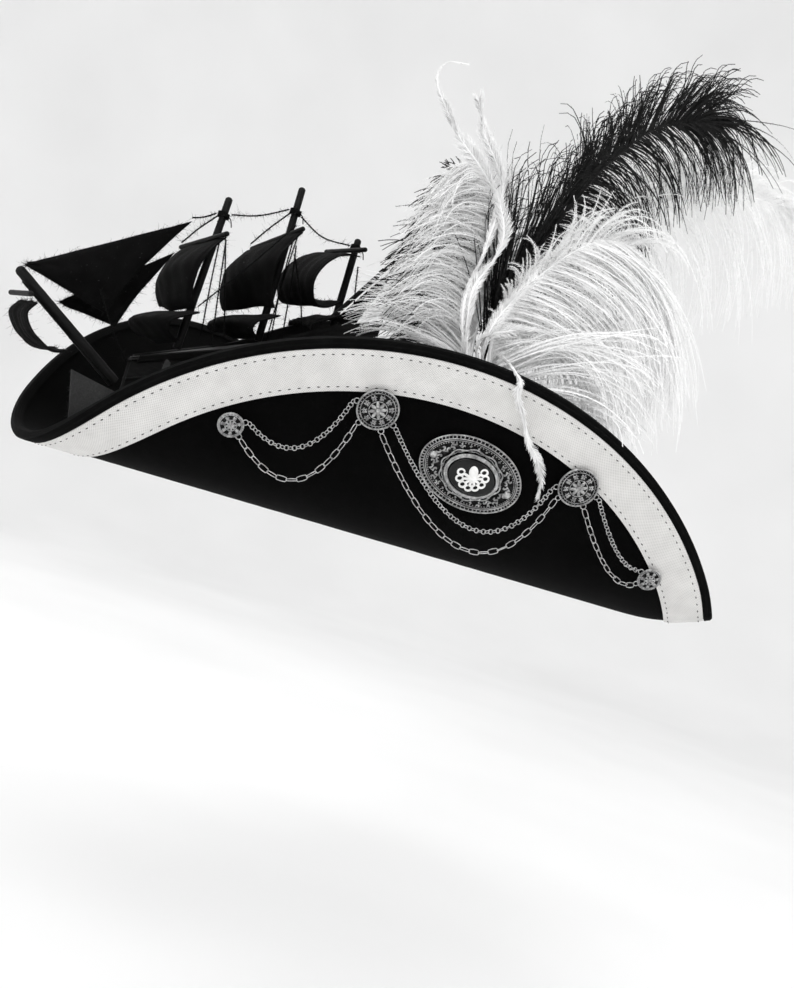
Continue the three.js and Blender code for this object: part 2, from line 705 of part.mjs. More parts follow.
// The room that a plume's fronds fill: oval sections along a spine of [x, y, z, half width].
const PLUMES = {
  white_plume_front: {
    thickness: 9,
    spine: [[112, -34, 66, 2], [105, -34, 86, 3], [92, -36, 106, 9], [91, -48, 125, 26],
      [90, -58, 150, 31], [89, -57, 175, 26], [89, -50, 193, 14], [89, -44, 200, 5]],
  },
  black_plume: {
    thickness: 9,
    spine: [[118, -24, 66, 2], [112, -24, 86, 3], [104, -21, 108, 6], [103, -8, 135, 16],
      [99, 10, 170, 24], [95, 32, 208, 28], [91, 60, 242, 28],
      [88, 95, 275, 32], [85, 132, 300, 34], [84, 162, 308, 16]],
  },
  white_plume_side: {
    thickness: 10,
    spine: [[124, -14, 66, 2], [122, -15, 86, 3], [119, -18, 106, 6], [119, -4, 128, 16],
      [120, 26, 148, 30], [122, 60, 152, 38], [124, 90, 140, 36], [126, 112, 122, 18]],
  },
  white_plume_rear: {
    thickness: 14,
    spine: [[108, -4, 66, 2], [98, -2, 86, 3], [80, 4, 112, 6], [74, 30, 142, 18],
      [68, 72, 182, 34], [60, 125, 218, 42], [52, 185, 245, 46], [48, 240, 255, 42], [46, 280, 250, 18]],
  },
};

function plume({ thickness, spine }) {
  const sides = 10;
  const middle = spine.map(([x, y, z]) => point(x, y, z));
  return loft(middle.map((centre, i) => {
    const before = middle[Math.max(i - 1, 0)];
    const after = middle[Math.min(i + 1, middle.length - 1)];
    const along = after.clone().sub(before).setX(0).normalize();
    const side = point(0, along.z, -along.y);
    const half = spine[i][3];
    const thin = Math.min(thickness / 2, half);
    return Array.from({ length: sides }, (_, j) => {
      const turn = (2 * Math.PI * j) / sides;
      return centre.clone().addScaledVector(side, half * Math.cos(turn))
        .add(point(thin * Math.sin(turn), 0, 0));
    });
  }));
}

// Stripped quills stand on the flap's side of the plumes.
const QUILLS = {
  tall_quill: [[127, -50, 78], [128, -58, 112], [131, -65, 128], [132, -62, 142], [132, -57, 152],
    [132, -64, 166], [132, -80, 178], [132, -97, 180], [132, -112, 185], [132, -121, 195],
    [132, -119, 207], [132, -107, 217]],
  short_quill: [[126, -38, 78], [129, -45, 106], [130, -42, 126], [130, -30, 145]],
};

// ---- The assembly --------------------------------------------------------------------------

const finish = (color, roughness, metalness = 0) =>
  new THREE.MeshStandardMaterial({ color, roughness, metalness });
const blackFelt = finish(0x0b0b0b, 0.95);
const blackTape = finish(0x141414, 0.8);
const steelWire = finish(0x8a8a8a, 0.4, 1);
const canvas = finish(0xd9d7d2, 0.9);
const leather = finish(0x2a2522, 0.6);
const satin = finish(0x1a1a1a, 0.4);
const antiqueSilver = finish(0x8f8f8f, 0.35, 1);
const blackResin = finish(0x050505, 0.2);
const whiteResin = finish(0xf1f1ee, 0.35);
const blackWood = finish(0x15130f, 0.6);
const blackCloth = finish(0x121212, 0.9);
const blackTwine = finish(0x1d1a17, 0.95);
const greyFelt = finish(0x3a3a3a, 0.95);
const whitePlume = finish(0xf2f1ee, 0.8);
const blackPlume = finish(0x0a0a0a, 0.7);

const hat = new THREE.Group();
const ship = new THREE.Group();
ship.position.copy(shipPlace);
const spray = new THREE.Group();
spray.position.copy(plumePlace);
hat.add(ship, spray);
function add(name, geometry, material, group = hat) {
  const mesh = new THREE.Mesh(geometry, material);
  mesh.name = name;
  group.add(mesh);
}

add('brim', brim(), blackFelt);
add('crown', dome(0, FELT, 0, 36, 7), blackFelt);
add('edge_binding', edgeBinding(), blackTape);
add('brim_wire', brimWire(), steelWire);
add('trim_band', trimBand(), canvas);
add('sweatband', sweatband(), leather);
add('lining', dome(FELT + GAP, LINING, LINING_RISE, 36, 5), satin);

BUTTONS.forEach((settings, i) => add(settings.name, button(settings, buttonSeats[i]), antiqueSilver));
CHAINS.forEach((settings) => add(settings.name, chain(settings), antiqueSilver));
add('brooch_plate', broochPlate(), antiqueSilver);
add('brooch_bezel', broochBezel(), antiqueSilver);
add('cameo', cameo(), blackResin);
add('octopus', octopus(), whiteResin);

const fit = (name, geometry, material = blackWood) => add(name, geometry, material, ship);
fit('hull', hull());
fit('deck', deck());
fit('bowsprit', spar(BOWSPRIT.foot, BOWSPRIT.tip, BOWSPRIT.radius, BOWSPRIT.tipRadius));
Object.entries(MASTS).forEach(([name, settings]) => fit(name, mast(settings)));
Object.entries(MAST_YARDS).forEach(([name, settings]) => fit(name, mastYard(settings)));
fit('sprit_yard', spar(SPRIT_YARD.far, SPRIT_YARD.near, YARD));
fit('spanker_boom', spar(SPANKER_BOOM.foot, SPANKER_BOOM.tip, YARD));
Object.entries(SQUARE_SAILS).forEach(([name, s]) => fit(name, squareSail(s), blackCloth));
Object.entries(CURLED_SAILS).forEach(([name, s]) => fit(name, curledSail(s), blackCloth));
Object.entries(JIBS).forEach(([name, s]) => fit(name, jib(s), blackCloth));
fit('spanker', plate(SPANKER_OUTLINE, SPANKER_X, CLOTH), blackCloth);
LASHINGS.forEach((settings) => fit(`${settings.mast}_lashing`, lashing(settings), blackTwine));
Object.entries(RIGGING).forEach(([name, path]) => fit(name, tube(path, TWINE, 8), blackTwine));
Object.entries(WAVES).forEach(([name, settings]) => add(name, wave(settings), greyFelt));

Object.entries(PLUMES).forEach(([name, settings]) =>
  add(name, plume(settings), name.startsWith('black') ? blackPlume : whitePlume, spray));
Object.entries(QUILLS).forEach(([name, path]) =>
  add(name, tube(path, QUILL, 3 * path.length), whitePlume, spray));

export default hat;
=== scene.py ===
import bpy
import math
import random
import numpy as np
from mathutils import Matrix, Vector


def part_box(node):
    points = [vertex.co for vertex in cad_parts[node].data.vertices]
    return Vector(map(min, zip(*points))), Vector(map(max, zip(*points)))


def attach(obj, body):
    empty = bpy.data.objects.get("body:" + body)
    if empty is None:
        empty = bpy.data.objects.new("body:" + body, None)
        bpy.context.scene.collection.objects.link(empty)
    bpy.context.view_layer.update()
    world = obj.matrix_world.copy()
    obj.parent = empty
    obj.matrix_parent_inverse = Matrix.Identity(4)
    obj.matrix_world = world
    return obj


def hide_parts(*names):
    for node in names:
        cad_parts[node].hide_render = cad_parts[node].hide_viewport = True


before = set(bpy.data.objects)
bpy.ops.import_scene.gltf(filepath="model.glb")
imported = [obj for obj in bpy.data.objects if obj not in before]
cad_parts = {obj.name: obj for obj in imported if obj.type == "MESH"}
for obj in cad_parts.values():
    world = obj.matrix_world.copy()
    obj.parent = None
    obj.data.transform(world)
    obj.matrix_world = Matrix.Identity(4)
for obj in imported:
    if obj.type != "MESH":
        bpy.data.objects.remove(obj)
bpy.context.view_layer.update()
mm = 0.001

# the camera stands off the wearer's front left, level with the brim, and is tipped to one side
camera = {"place": (597.43, -404.67, 17.27), "right": (0.55812, 0.77842, 0.28733),
          "upward": (-0.15556, -0.24198, 0.95773), "lens": 45.15}


def makeCamera():
    data = bpy.data.cameras.new("camera")
    data.lens = camera["lens"]
    data.sensor_width = 36
    data.clip_end = 100
    cam = bpy.data.objects.new("camera", data)
    right, upward = Vector(camera["right"]).normalized(), Vector(camera["upward"])
    back = right.cross(upward).normalized()
    axes = Matrix((right, back.cross(right), back)).transposed().to_4x4()
    cam.matrix_world = Matrix.Translation(Vector(camera["place"]) * mm) @ axes
    bpy.context.scene.collection.objects.link(cam)
    bpy.context.scene.camera = cam


makeCamera()
bpy.context.scene.view_settings.view_transform = "Standard"
print("camera made; the hat has no free cords")

# the turned-up brim, in millimetres: three flaps, each rolled up to a radius along a straight fold
hatSizes = {"gap": 0.3, "felt": 3.0, "openingX": 76.0, "openingY": 97.0, "crownHeight": 88.0,
            "crownFullness": 2.4, "brimRadius": 203.6, "brimCentreY": 1.4, "bindingLeg": 1.4,
            "trimWidth": 20.7, "trim": 0.9}
folds = [{"margin": 0.4, "towards": -21.9, "turn": 66.0, "radius": 42.5},
         {"margin": 0.4, "towards": 201.9, "turn": 66.0, "radius": 42.5},
         {"margin": 0.4, "towards": 90.0, "turn": 80.6, "radius": 20.0}]
trimOuter = hatSizes["brimRadius"] - hatSizes["bindingLeg"] - hatSizes["gap"]
trimInner = trimOuter - hatSizes["trimWidth"]


def unit(v):
    return v / np.maximum(np.linalg.norm(v, axis=-1, keepdims=True), 1e-12)


def folded(flat):  # where a point of the flat brim's outer face goes
    x, y = flat[..., 0], flat[..., 1]
    total, shift = np.zeros_like(x), np.zeros(x.shape + (3,))
    for fold in folds:
        heading, turn = math.radians(fold["towards"]), math.radians(fold["turn"])
        nx, ny = math.cos(heading), math.sin(heading)
        reach = math.hypot(hatSizes["openingX"] * nx, hatSizes["openingY"] * ny)
        start = reach + hatSizes["gap"] + fold["margin"]
        bend = fold["radius"] * turn
        s = x * nx + y * ny
        beyond = np.maximum(s - start, 0)
        part = np.minimum(beyond / bend, 1)
        past = np.maximum(beyond - bend, 0)
        out = start + fold["radius"] * np.sin(part * turn) + past * math.cos(turn) - s
        lift = fold["radius"] * (1 - np.cos(part * turn)) + past * math.sin(turn)
        weight = beyond ** 2 + 1e-6
        pull = np.stack([out * nx, out * ny, lift], -1)
        shift += np.where(s > start, weight, 0)[..., None] * pull
        total += weight
    return np.stack([x, y, np.zeros_like(x)], -1) + shift / total[..., None]


def outward(flat):  # out of the felt's outer face
    stepX, stepY = np.array([0.5, 0.0]), np.array([0.0, 0.5])
    alongX = folded(flat + stepX) - folded(flat - stepX)
    alongY = folded(flat + stepY) - folded(flat - stepY)
    return unit(np.cross(alongY, alongX))


def onBrim(radius, angle, height):
    radius, angle, height = np.broadcast_arrays(*(np.asarray(v, float)
                                                  for v in (radius, angle, height)))
    flat = np.stack([radius * np.cos(angle),
                     hatSizes["brimCentreY"] + radius * np.sin(angle)], -1)
    return folded(flat) + outward(flat) * height[..., None]


def openingRadius(angle, spare):  # the crown's oval, from the middle of the brim
    a, b = hatSizes["openingX"] + spare, hatSizes["openingY"] + spare
    c, s, middle = np.cos(angle), np.sin(angle), hatSizes["brimCentreY"]
    p, q, r = (c / a) ** 2 + (s / b) ** 2, middle * s / b ** 2, (middle / b) ** 2 - 1
    return (-q + np.sqrt(q * q - p * r)) / p


def seat(below, degrees, height):  # centre, outward, rearward along the flap, up the flap
    angle, radius = math.radians(degrees), trimInner - below
    flat = np.array([radius * math.cos(angle),
                     hatSizes["brimCentreY"] + radius * math.sin(angle)])
    out = Vector(outward(flat))
    rear = Vector((-out.y, out.x, 0)).normalized()
    return Vector(onBrim(radius, angle, height)), out, rear, out.cross(rear)


# ways of working that every piece shares
def clear():
    if bpy.context.object and bpy.context.object.mode != "OBJECT":
        bpy.ops.object.mode_set(mode="OBJECT")
    bpy.ops.object.select_all(action="DESELECT")


def only(*pieces):
    clear()
    for piece in pieces:
        piece.select_set(True)
    bpy.context.view_layer.objects.active = pieces[0]


def named(name):
    piece = bpy.context.object
    piece.name = piece.data.name = name
    return piece


def pieceName(node, ending=""):  # fore_mast becomes foreMast, with the ending after it
    first, *others = node.split("_")
    return first + "".join(word.capitalize() for word in others) + ending


def editAll(piece):
    only(piece)
    bpy.ops.object.mode_set(mode="EDIT")
    bpy.ops.mesh.select_all(action="SELECT")


def modify(piece, kind, **settings):
    only(piece)
    modifier = piece.modifiers.new(kind.lower(), kind)
    for key, value in settings.items():
        setattr(modifier, key, value)
    bpy.ops.object.modifier_apply(modifier=modifier.name)
    return piece


def outside(piece, merge=None):  # doubles merged, then every face turned outwards
    editAll(piece)
    if merge:
        bpy.ops.mesh.remove_doubles(threshold=merge)
    bpy.ops.mesh.normals_make_consistent(inside=False)
    bpy.ops.object.mode_set(mode="OBJECT")
    return piece


def smooth(piece, angle=None):
    only(piece)
    if angle is None:
        bpy.ops.object.shade_smooth()
    else:
        bpy.ops.object.shade_smooth_by_angle(angle=math.radians(angle))
    return piece


def coords(piece):
    flat = np.empty(len(piece.data.vertices) * 3)
    piece.data.vertices.foreach_get("co", flat)
    return flat.reshape(-1, 3)


def setCoords(piece, places):
    piece.data.vertices.foreach_set("co", np.ascontiguousarray(places, float).ravel())
    piece.data.update()
    return piece


def join(name, pieces):
    only(*pieces)
    if len(pieces) > 1:
        bpy.ops.object.join()
    return named(name)


def place(piece, matrix):
    piece.data.transform(matrix)
    return piece


def linked(name, data):
    piece = bpy.data.objects.new(name, data)
    bpy.context.scene.collection.objects.link(piece)
    return piece


def copyOf(piece, matrix):
    return place(linked(piece.name, piece.data.copy()), matrix)


def discard(*pieces):
    for piece in pieces:
        bpy.data.objects.remove(piece)


def dress(piece, material, body="hat", replaces=()):
    only(piece)
    bpy.ops.object.transform_apply(location=True, rotation=True, scale=True)
    piece.data.materials.clear()
    piece.data.materials.append(material)
    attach(piece, body)
    if replaces:
        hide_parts(*replaces)
    return piece


def refinish(node, material):  # a CAD node whose shape stays gets a better material
    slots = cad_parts[node].data.materials
    slots.clear()
    slots.append(material)


def meshFrom(name, verts, faces):
    data = bpy.data.meshes.new(name)
    data.from_pydata([], [], [])
    faces = np.asarray(faces)
    count, sides = faces.shape
    data.vertices.add(len(verts))
    data.vertices.foreach_set("co", np.ascontiguousarray(verts, float).ravel())
    data.loops.add(count * sides)
    data.loops.foreach_set("vertex_index", faces.ravel().astype(np.int32))
    data.polygons.add(count)
    data.polygons.foreach_set("loop_start", np.arange(0, count * sides, sides, dtype=np.int32))
    data.update(calc_edges=True)
    data.validate()
    return linked(name, data)


def ribbons(name, paths, sides, widths):  # many narrow strips, each along its own path
    n, k, _ = paths.shape
    half = sides * (widths / 2)[..., None]
    verts = np.stack([paths - half, paths + half], 2).reshape(-1, 3)
    base = (np.arange(n)[:, None] * k + np.arange(k - 1)[None]).ravel() * 2
    faces = np.stack([base, base + 1, base + 3, base + 2], -1)
    return meshFrom(name, verts * mm, faces)


# materials
def linear(code):
    value = [int(code[i:i + 2], 16) / 255 for i in (1, 3, 5)]
    return [v / 12.92 if v <= 0.04045 else ((v + 0.055) / 1.055) ** 2.4 for v in value] + [1]


def addNode(tree, kind, inputs=(), stops=(), to=None, **options):
    made = tree.nodes.new("ShaderNode" + kind)
    for key, value in options.items():
        setattr(made, key, value)
    for key, value in dict(inputs).items():
        if isinstance(value, bpy.types.NodeSocket):
            tree.links.new(value, made.inputs[key])
        else:
            made.inputs[key].default_value = value
    for i, (at, code) in enumerate(stops):
        stop = made.color_ramp.elements[i] if i < 2 else made.color_ramp.elements.new(at)
        stop.position, stop.color = at, linear(code)
    if to is not None:
        tree.links.new(made.outputs[0], to)
    return made


def newMaterial(name, **sockets):
    material = bpy.data.materials.new(name)
    material.use_nodes = True
    tree = material.node_tree
    shader = tree.nodes["Principled BSDF"]
    for key, value in sockets.items():
        shader.inputs[key.replace("_", " ")].default_value = value
    where = addNode(tree, "TexCoord").outputs["Object"]
    return material, tree, shader.inputs, where


def perMetre(size):  # a pattern's scale from the real size of one repeat, in millimetres
    return 1000 / size


# wool felt, hardened and brushed: matt, with a low nap and stray lighter fibres
def woolFelt(name, stops, nap=1.0):
    material, tree, shader, where = newMaterial(name, Roughness=1.0, Specular_IOR_Level=0.05,
                                                Sheen_Weight=0.02, Sheen_Roughness=0.5)
    fibres = addNode(tree, "TexNoise", {"Vector": where, "Scale": perMetre(0.9), "Detail": 6,
                                        "Roughness": 0.75})
    cloud = addNode(tree, "TexNoise", {"Vector": where, "Scale": perMetre(38), "Detail": 3})
    mixed = addNode(tree, "Math", {0: fibres.outputs["Fac"], 1: cloud.outputs["Fac"]},
                    operation="MULTIPLY")
    addNode(tree, "ValToRGB", {"Fac": mixed.outputs[0]}, stops, shader["Base Color"])
    addNode(tree, "Bump", {"Height": fibres.outputs["Fac"], "Strength": 0.5 * nap,
                           "Distance": 0.6 * mm}, to=shader["Normal"])
    return material


blackFelt = woolFelt("blackWoolFelt", [(0.12, "#010101"), (0.42, "#050505"), (0.66, "#161616")])
greyFelt = woolFelt("greyCraftFelt", [(0.1, "#2b2b2b"), (0.4, "#454545"), (0.62, "#6a6a6a")], 1.4)


# a woven cloth on the piece's own flat cloth map, in millimetres: warp over weft
def wovenCloth(name, thread, stops, turn=0.0, relief=0.4, lint=False, **sockets):
    material, tree, shader, where = newMaterial(name, **sockets)
    flat = addNode(tree, "UVMap", uv_map="cloth").outputs["UV"]
    turned = addNode(tree, "Mapping", {"Vector": flat, "Rotation": (0, 0, turn)})
    waves = []
    for direction in ("X", "Y"):
        wave = addNode(tree, "TexWave", {"Vector": turned.outputs[0], "Distortion": 0.6,
                                         "Scale": 0.5 / thread * 0.628, "Detail": 2,
                                         "Detail Scale": 1.5}, bands_direction=direction)
        waves.append(wave.outputs["Fac"])
    weave = addNode(tree, "Math", {0: waves[0], 1: waves[1]}, operation="MAXIMUM").outputs[0]
    cloud = addNode(tree, "TexNoise", {"Vector": where, "Scale": perMetre(9), "Detail": 5})
    mixed = addNode(tree, "Mix", {0: 0.45, 2: weave, 3: cloud.outputs["Fac"]}, data_type="FLOAT")
    colour = addNode(tree, "ValToRGB", {"Fac": mixed.outputs[0]}, stops).outputs[0]
    if lint:
        specks = addNode(tree, "TexNoise", {"Vector": where, "Scale": perMetre(1.6),
                                            "Detail": 4, "Roughness": 0.8})
        spots = addNode(tree, "ValToRGB", {"Fac": specks.outputs["Fac"]},
                        [(0.66, "#000000"), (0.74, "#ffffff")])
        lighter = addNode(tree, "Mix", {"Factor": spots.outputs[0], "A": colour,
                                        "B": linear("#5c5c5c")}, data_type="RGBA")
        colour = lighter.outputs["Result"]
    tree.links.new(colour, shader["Base Color"])
    addNode(tree, "Bump", {"Height": weave, "Strength": relief, "Distance": 0.4 * mm},
            to=shader["Normal"])
    return material


# cotton canvas, cut on the bias: pale, matt, with a slanting weave
canvas = wovenCloth("creamCottonCanvas", 0.85,
                    [(0.25, "#b9b8b6"), (0.6, "#d8d7d5"), (0.85, "#e6e5e3")],
                    turn=math.radians(38), relief=0.35, Roughness=0.9)
# black cotton for sails, stiffened with glue: near black, faintly glossed, with pale lint
sailCloth = wovenCloth("blackSizedCotton", 0.7,
                       [(0.2, "#020202"), (0.6, "#080808"), (0.9, "#161616")], relief=0.5,
                       lint=True, Roughness=0.85, Sheen_Weight=0.01, Specular_IOR_Level=0.05)
# black bias tape: a closer, smoother weave with a slight sheen
blackTape = wovenCloth("blackCottonTape", 0.6,
                       [(0.2, "#020202"), (0.6, "#060606"), (0.9, "#121212")], relief=0.3,
                       Roughness=0.85, Sheen_Weight=0.01, Specular_IOR_Level=0.04)


# cast zinc with an antique silver plate: bright on the high places, dark in the hollows
def antiqueMetal(name, dark, middle, bright):
    material, tree, shader, where = newMaterial(name, Metallic=1.0, Roughness=0.38)
    wear = addNode(tree, "TexNoise", {"Vector": where, "Scale": perMetre(2.4), "Detail": 6,
                                      "Roughness": 0.7})
    high = wear.outputs["Fac"]
    addNode(tree, "ValToRGB", {"Fac": high}, [(0.3, dark), (0.5, middle), (0.72, bright)],
            shader["Base Color"])
    addNode(tree, "MapRange", {"Value": high, "From Min": 0.3, "From Max": 0.7, "To Min": 0.5,
                               "To Max": 0.26}, to=shader["Roughness"])
    addNode(tree, "Bump", {"Height": high, "Strength": 0.25, "Distance": 0.2 * mm},
            to=shader["Normal"])
    return material


antiqueSilver = antiqueMetal("antiqueSilverPlate", "#5c5c5c", "#a6a6a6", "#dedede")
darkSilver = antiqueMetal("tarnishedSilverPlate", "#0c0c0c", "#1c1c1c", "#3e3e3e")
chainMetal = antiqueMetal("gunmetalSteelWire", "#8e8e8e", "#c6c6c6", "#f2f2f2")


# cast resin: glossy and smooth, with faint flow marks from the mould
def castResin(name, stops, roughness):
    material, tree, shader, where = newMaterial(name, Roughness=roughness, IOR=1.52,
                                                Coat_Weight=0.08, Specular_IOR_Level=0.25)
    flow = addNode(tree, "TexNoise", {"Vector": where, "Scale": perMetre(6), "Detail": 4,
                                      "Distortion": 0.6})
    addNode(tree, "ValToRGB", {"Fac": flow.outputs["Fac"]}, stops, shader["Base Color"])
    addNode(tree, "Bump", {"Height": flow.outputs["Fac"], "Strength": 0.08,
                           "Distance": 0.2 * mm}, to=shader["Normal"])
    return material


blackResin = castResin("blackCastResin", [(0.3, "#020202"), (0.7, "#070707")], 0.2)
whiteResin = castResin("whiteCastResin", [(0.3, "#e4e4e2"), (0.7, "#fbfbfa")], 0.35)


# wood stained black and left unvarnished: grain lines along the piece with paler worn streaks
def stainedWood(name, stops, along):
    material, tree, shader, where = newMaterial(name, Roughness=0.62, Specular_IOR_Level=0.2)
    flat = addNode(tree, "UVMap", uv_map="cloth").outputs["UV"] if along else where
    stretched = addNode(tree, "Mapping", {"Vector": flat, "Scale": (1.0, 0.09, 1.0)})
    scale = 1.1 if along else perMetre(1.1)
    grain = addNode(tree, "TexNoise", {"Vector": stretched.outputs[0], "Scale": scale,
                                       "Detail": 7, "Roughness": 0.65, "Distortion": 0.5})
    addNode(tree, "ValToRGB", {"Fac": grain.outputs["Fac"]}, stops, shader["Base Color"])
    addNode(tree, "Bump", {"Height": grain.outputs["Fac"], "Strength": 0.45,
                           "Distance": 0.5 * mm}, to=shader["Normal"])
    return material


blackSpar = stainedWood("blackStainedDowel",
                        [(0.3, "#040404"), (0.56, "#0b0b0b"), (0.8, "#1e1e1e")], along=True)
blackHull = stainedWood("blackStainedBasswood",
                        [(0.3, "#030303"), (0.55, "#090909"), (0.8, "#171717")], along=False)


# one plain fibre stuff for twine, thread and fray: matt, with light and dark along it
def fibre(name, stops, scale, **sockets):
    material, tree, shader, where = newMaterial(name, **sockets)
    tone = addNode(tree, "TexNoise", {"Vector": where, "Scale": perMetre(scale), "Detail": 4,
                                      "Roughness": 0.7})
    addNode(tree, "ValToRGB", {"Fac": tone.outputs["Fac"]}, stops, shader["Base Color"])
    addNode(tree, "Bump", {"Height": tone.outputs["Fac"], "Strength": 0.3, "Distance": 0.3 * mm},
            to=shader["Normal"])
    return material


blackTwine = fibre("blackJuteTwine", [(0.3, "#040404"), (0.7, "#161616")], 0.8, Roughness=0.95,
                   Specular_IOR_Level=0.1)
blackLint = fibre("blackFrayedCotton", [(0.3, "#060606"), (0.7, "#1c1c1c")], 3, Roughness=0.9,
                   Specular_IOR_Level=0.1)
stitchThread = fibre("darkPolyesterThread", [(0.3, "#1c1c1c"), (0.7, "#474747")], 0.6,
                     Roughness=0.6)
# ostrich feather: white or dyed black keratin barbs, slightly silky and see-through
whitePlume = fibre("whiteOstrichFeather", [(0.25, "#efefef"), (0.6, "#fcfcfc")], 14,
                   Roughness=0.6, Sheen_Weight=0.3)
blackPlume = fibre("blackDyedOstrichFeather", [(0.3, "#020202"), (0.7, "#090909")], 9,
                   Roughness=0.6, Sheen_Weight=0.01, Specular_IOR_Level=0.2)
# vegetable tanned sheepskin: fine pores and a dull shine
leather = fibre("brownSheepskinLeather", [(0.3, "#231d18"), (0.7, "#3d342c")], 1.4,
                Roughness=0.5, Coat_Weight=0.05)
# acetate satin: smooth, with a soft broad shine across the gathers
satin = fibre("blackAcetateSatin", [(0.3, "#0c0c0c"), (0.7, "#1f1f1f")], 6, Roughness=0.32,
              Sheen_Weight=0.2, Anisotropic=0.5)
# drawn steel wire, bright and faintly ridged along its length
steelWire = antiqueMetal("drawnSteelWire", "#6e6e6e", "#9a9a9a", "#bdbdbd")
print("materials mixed")


# felt body, binding and canvas: each is a torus whose section is carried round the brim
brimPieces = {"around": 256, "startTurn": 90.0, "binding": 0.7, "bindingGap": 0.45,
              "wireRoom": 2.4, "feltSteps": 22}


def torusPiece(name, around, sides, spot, flat=None):
    clear()
    bpy.ops.mesh.primitive_torus_add(major_segments=around, minor_segments=sides,
                                     major_radius=0.2, minor_radius=0.01)
    piece = named(name)
    i, j = np.divmod(np.arange(around * sides), sides)
    turn = math.radians(brimPieces["startTurn"]) + 2 * math.pi * i / around
    setCoords(piece, spot(turn, j) * mm)
    if flat is not None:  # the cloth map: along and across the band, in millimetres
        corner = np.empty(len(piece.data.loops), int)
        piece.data.loops.foreach_get("vertex_index", corner)
        share = (corner // sides / around).reshape(-1, 4)
        wraps = share.max(1, keepdims=True) - share.min(1, keepdims=True) > 0.5
        share = np.where(wraps & (share < 0.5), share + 1, share)
        long, across = flat
        uv = np.stack([share.ravel() * long, np.asarray(across)[corner % sides]], -1)
        layer = piece.data.uv_layers.new(name="cloth")
        layer.data.foreach_set("uv", uv.ravel())
        piece.data.uv_layers.active = layer
    outside(piece)
    return smooth(piece, 50)


def brimTorus(name, section, flat=None):  # section: (share of the opening, radius, height)
    section = np.array(section, float)

    def spot(turn, j):
        share, radius, height = section[j].T
        return onBrim(share * openingRadius(turn, hatSizes["gap"]) + radius, turn, height)
    return torusPiece(name, brimPieces["around"], len(section), spot, flat)


def makeBrim():
    steps = brimPieces["feltSteps"]
    shares = np.linspace(0, 1, steps) ** 0.9
    face = [(1 - k, k * hatSizes["brimRadius"]) for k in shares]
    section = [(*f, 0.0) for f in face] + [(*f, -hatSizes["felt"]) for f in reversed(face)]
    dress(brimTorus("feltBrim", section), blackFelt, replaces=["brim"])

    radii = np.linspace(trimInner, trimOuter, 9)
    low, high = hatSizes["gap"], hatSizes["gap"] + hatSizes["trim"]
    rounded = [high - 0.3, *[high] * 7, high - 0.3]
    section = [(0, r, low) for r in radii]
    section += [(0, r, h) for r, h in zip(reversed(radii), rounded)]
    across = list(radii) + list(reversed(radii))
    long = 2 * math.pi * (trimOuter + trimInner) / 2
    band = brimTorus("canvasBand", section, (long, across))
    dress(band, canvas, replaces=["trim_band"])


def bindingSection():
    leg, room = -hatSizes["bindingLeg"], brimPieces["wireRoom"]
    gap, tape = brimPieces["bindingGap"], brimPieces["binding"]
    high, low = gap, -hatSizes["felt"] - gap
    inner = [(leg, high), (room - 0.4, high), (room, high - 0.5), (room, low + 0.5),
             (room - 0.4, low), (leg, low)]
    outer = [(leg, low - tape), (room - 0.5, low - tape), (room + tape, low + 0.3),
             (room + tape, high - 0.3), (room - 0.5, high + tape), (leg, high + tape)]
    return inner + outer


def makeBinding():
    section = np.array(bindingSection())

    def spot(turn, j):
        edge = onBrim(hatSizes["brimRadius"], turn, 0)
        across = unit(edge - onBrim(hatSizes["brimRadius"] - hatSizes["bindingLeg"], turn, 0))
        out = onBrim(hatSizes["brimRadius"], turn, 1) - edge
        past, height = section[j].T
        return edge + across * past[:, None] + out * height[:, None]
    steps = np.linalg.norm(np.diff(section, axis=0, append=section[:1]), axis=1)
    long = 2 * math.pi * hatSizes["brimRadius"]
    piece = torusPiece("brimBinding", brimPieces["around"], len(section), spot,
                       (long, np.cumsum(steps)))
    dress(piece, blackTape, replaces=["edge_binding"])


# running stitches hold the canvas down: one stitch, copied along both edges
stitching = {"pitch": 4.5, "length": 2.1, "width": 0.62, "rows": (2.6, 18.4)}


def makeStitches():
    clear()
    bpy.ops.mesh.primitive_uv_sphere_add(segments=6, ring_count=4, radius=0.5)
    stitch = named("stitch")
    base = coords(stitch) * (stitching["length"], stitching["width"], 0.5)
    base[:, 2] -= (base[:, 0] / stitching["length"] * 2) ** 2 * 0.25
    faces = [list(p.vertices) for p in stitch.data.polygons]
    discard(stitch)
    made = []
    for row in stitching["rows"]:
        radius = trimOuter - row
        count = int(2 * math.pi * radius / stitching["pitch"])
        for k in range(count):
            turn = 2 * math.pi * k / count
            height = hatSizes["gap"] + hatSizes["trim"]
            here = onBrim(radius, turn, height)
            along = unit(onBrim(radius, turn + 0.005, height) - onBrim(radius, turn - 0.005, height))
            out = unit(onBrim(radius, turn, height + 1) - here)
            sideways = np.cross(out, along)
            lean = (k * 7 % 5 - 2) * 0.05
            x = along * math.cos(lean) + sideways * math.sin(lean)
            made.append(here + base @ np.stack([x, np.cross(out, x), out]))
    data = bpy.data.meshes.new("canvasStitches")
    n = len(base)
    data.from_pydata((np.concatenate(made) * mm).tolist(), [],
                     [[v + i * n for v in f] for i in range(len(made)) for f in faces])
    dress(smooth(linked("canvasStitches", data)), stitchThread)


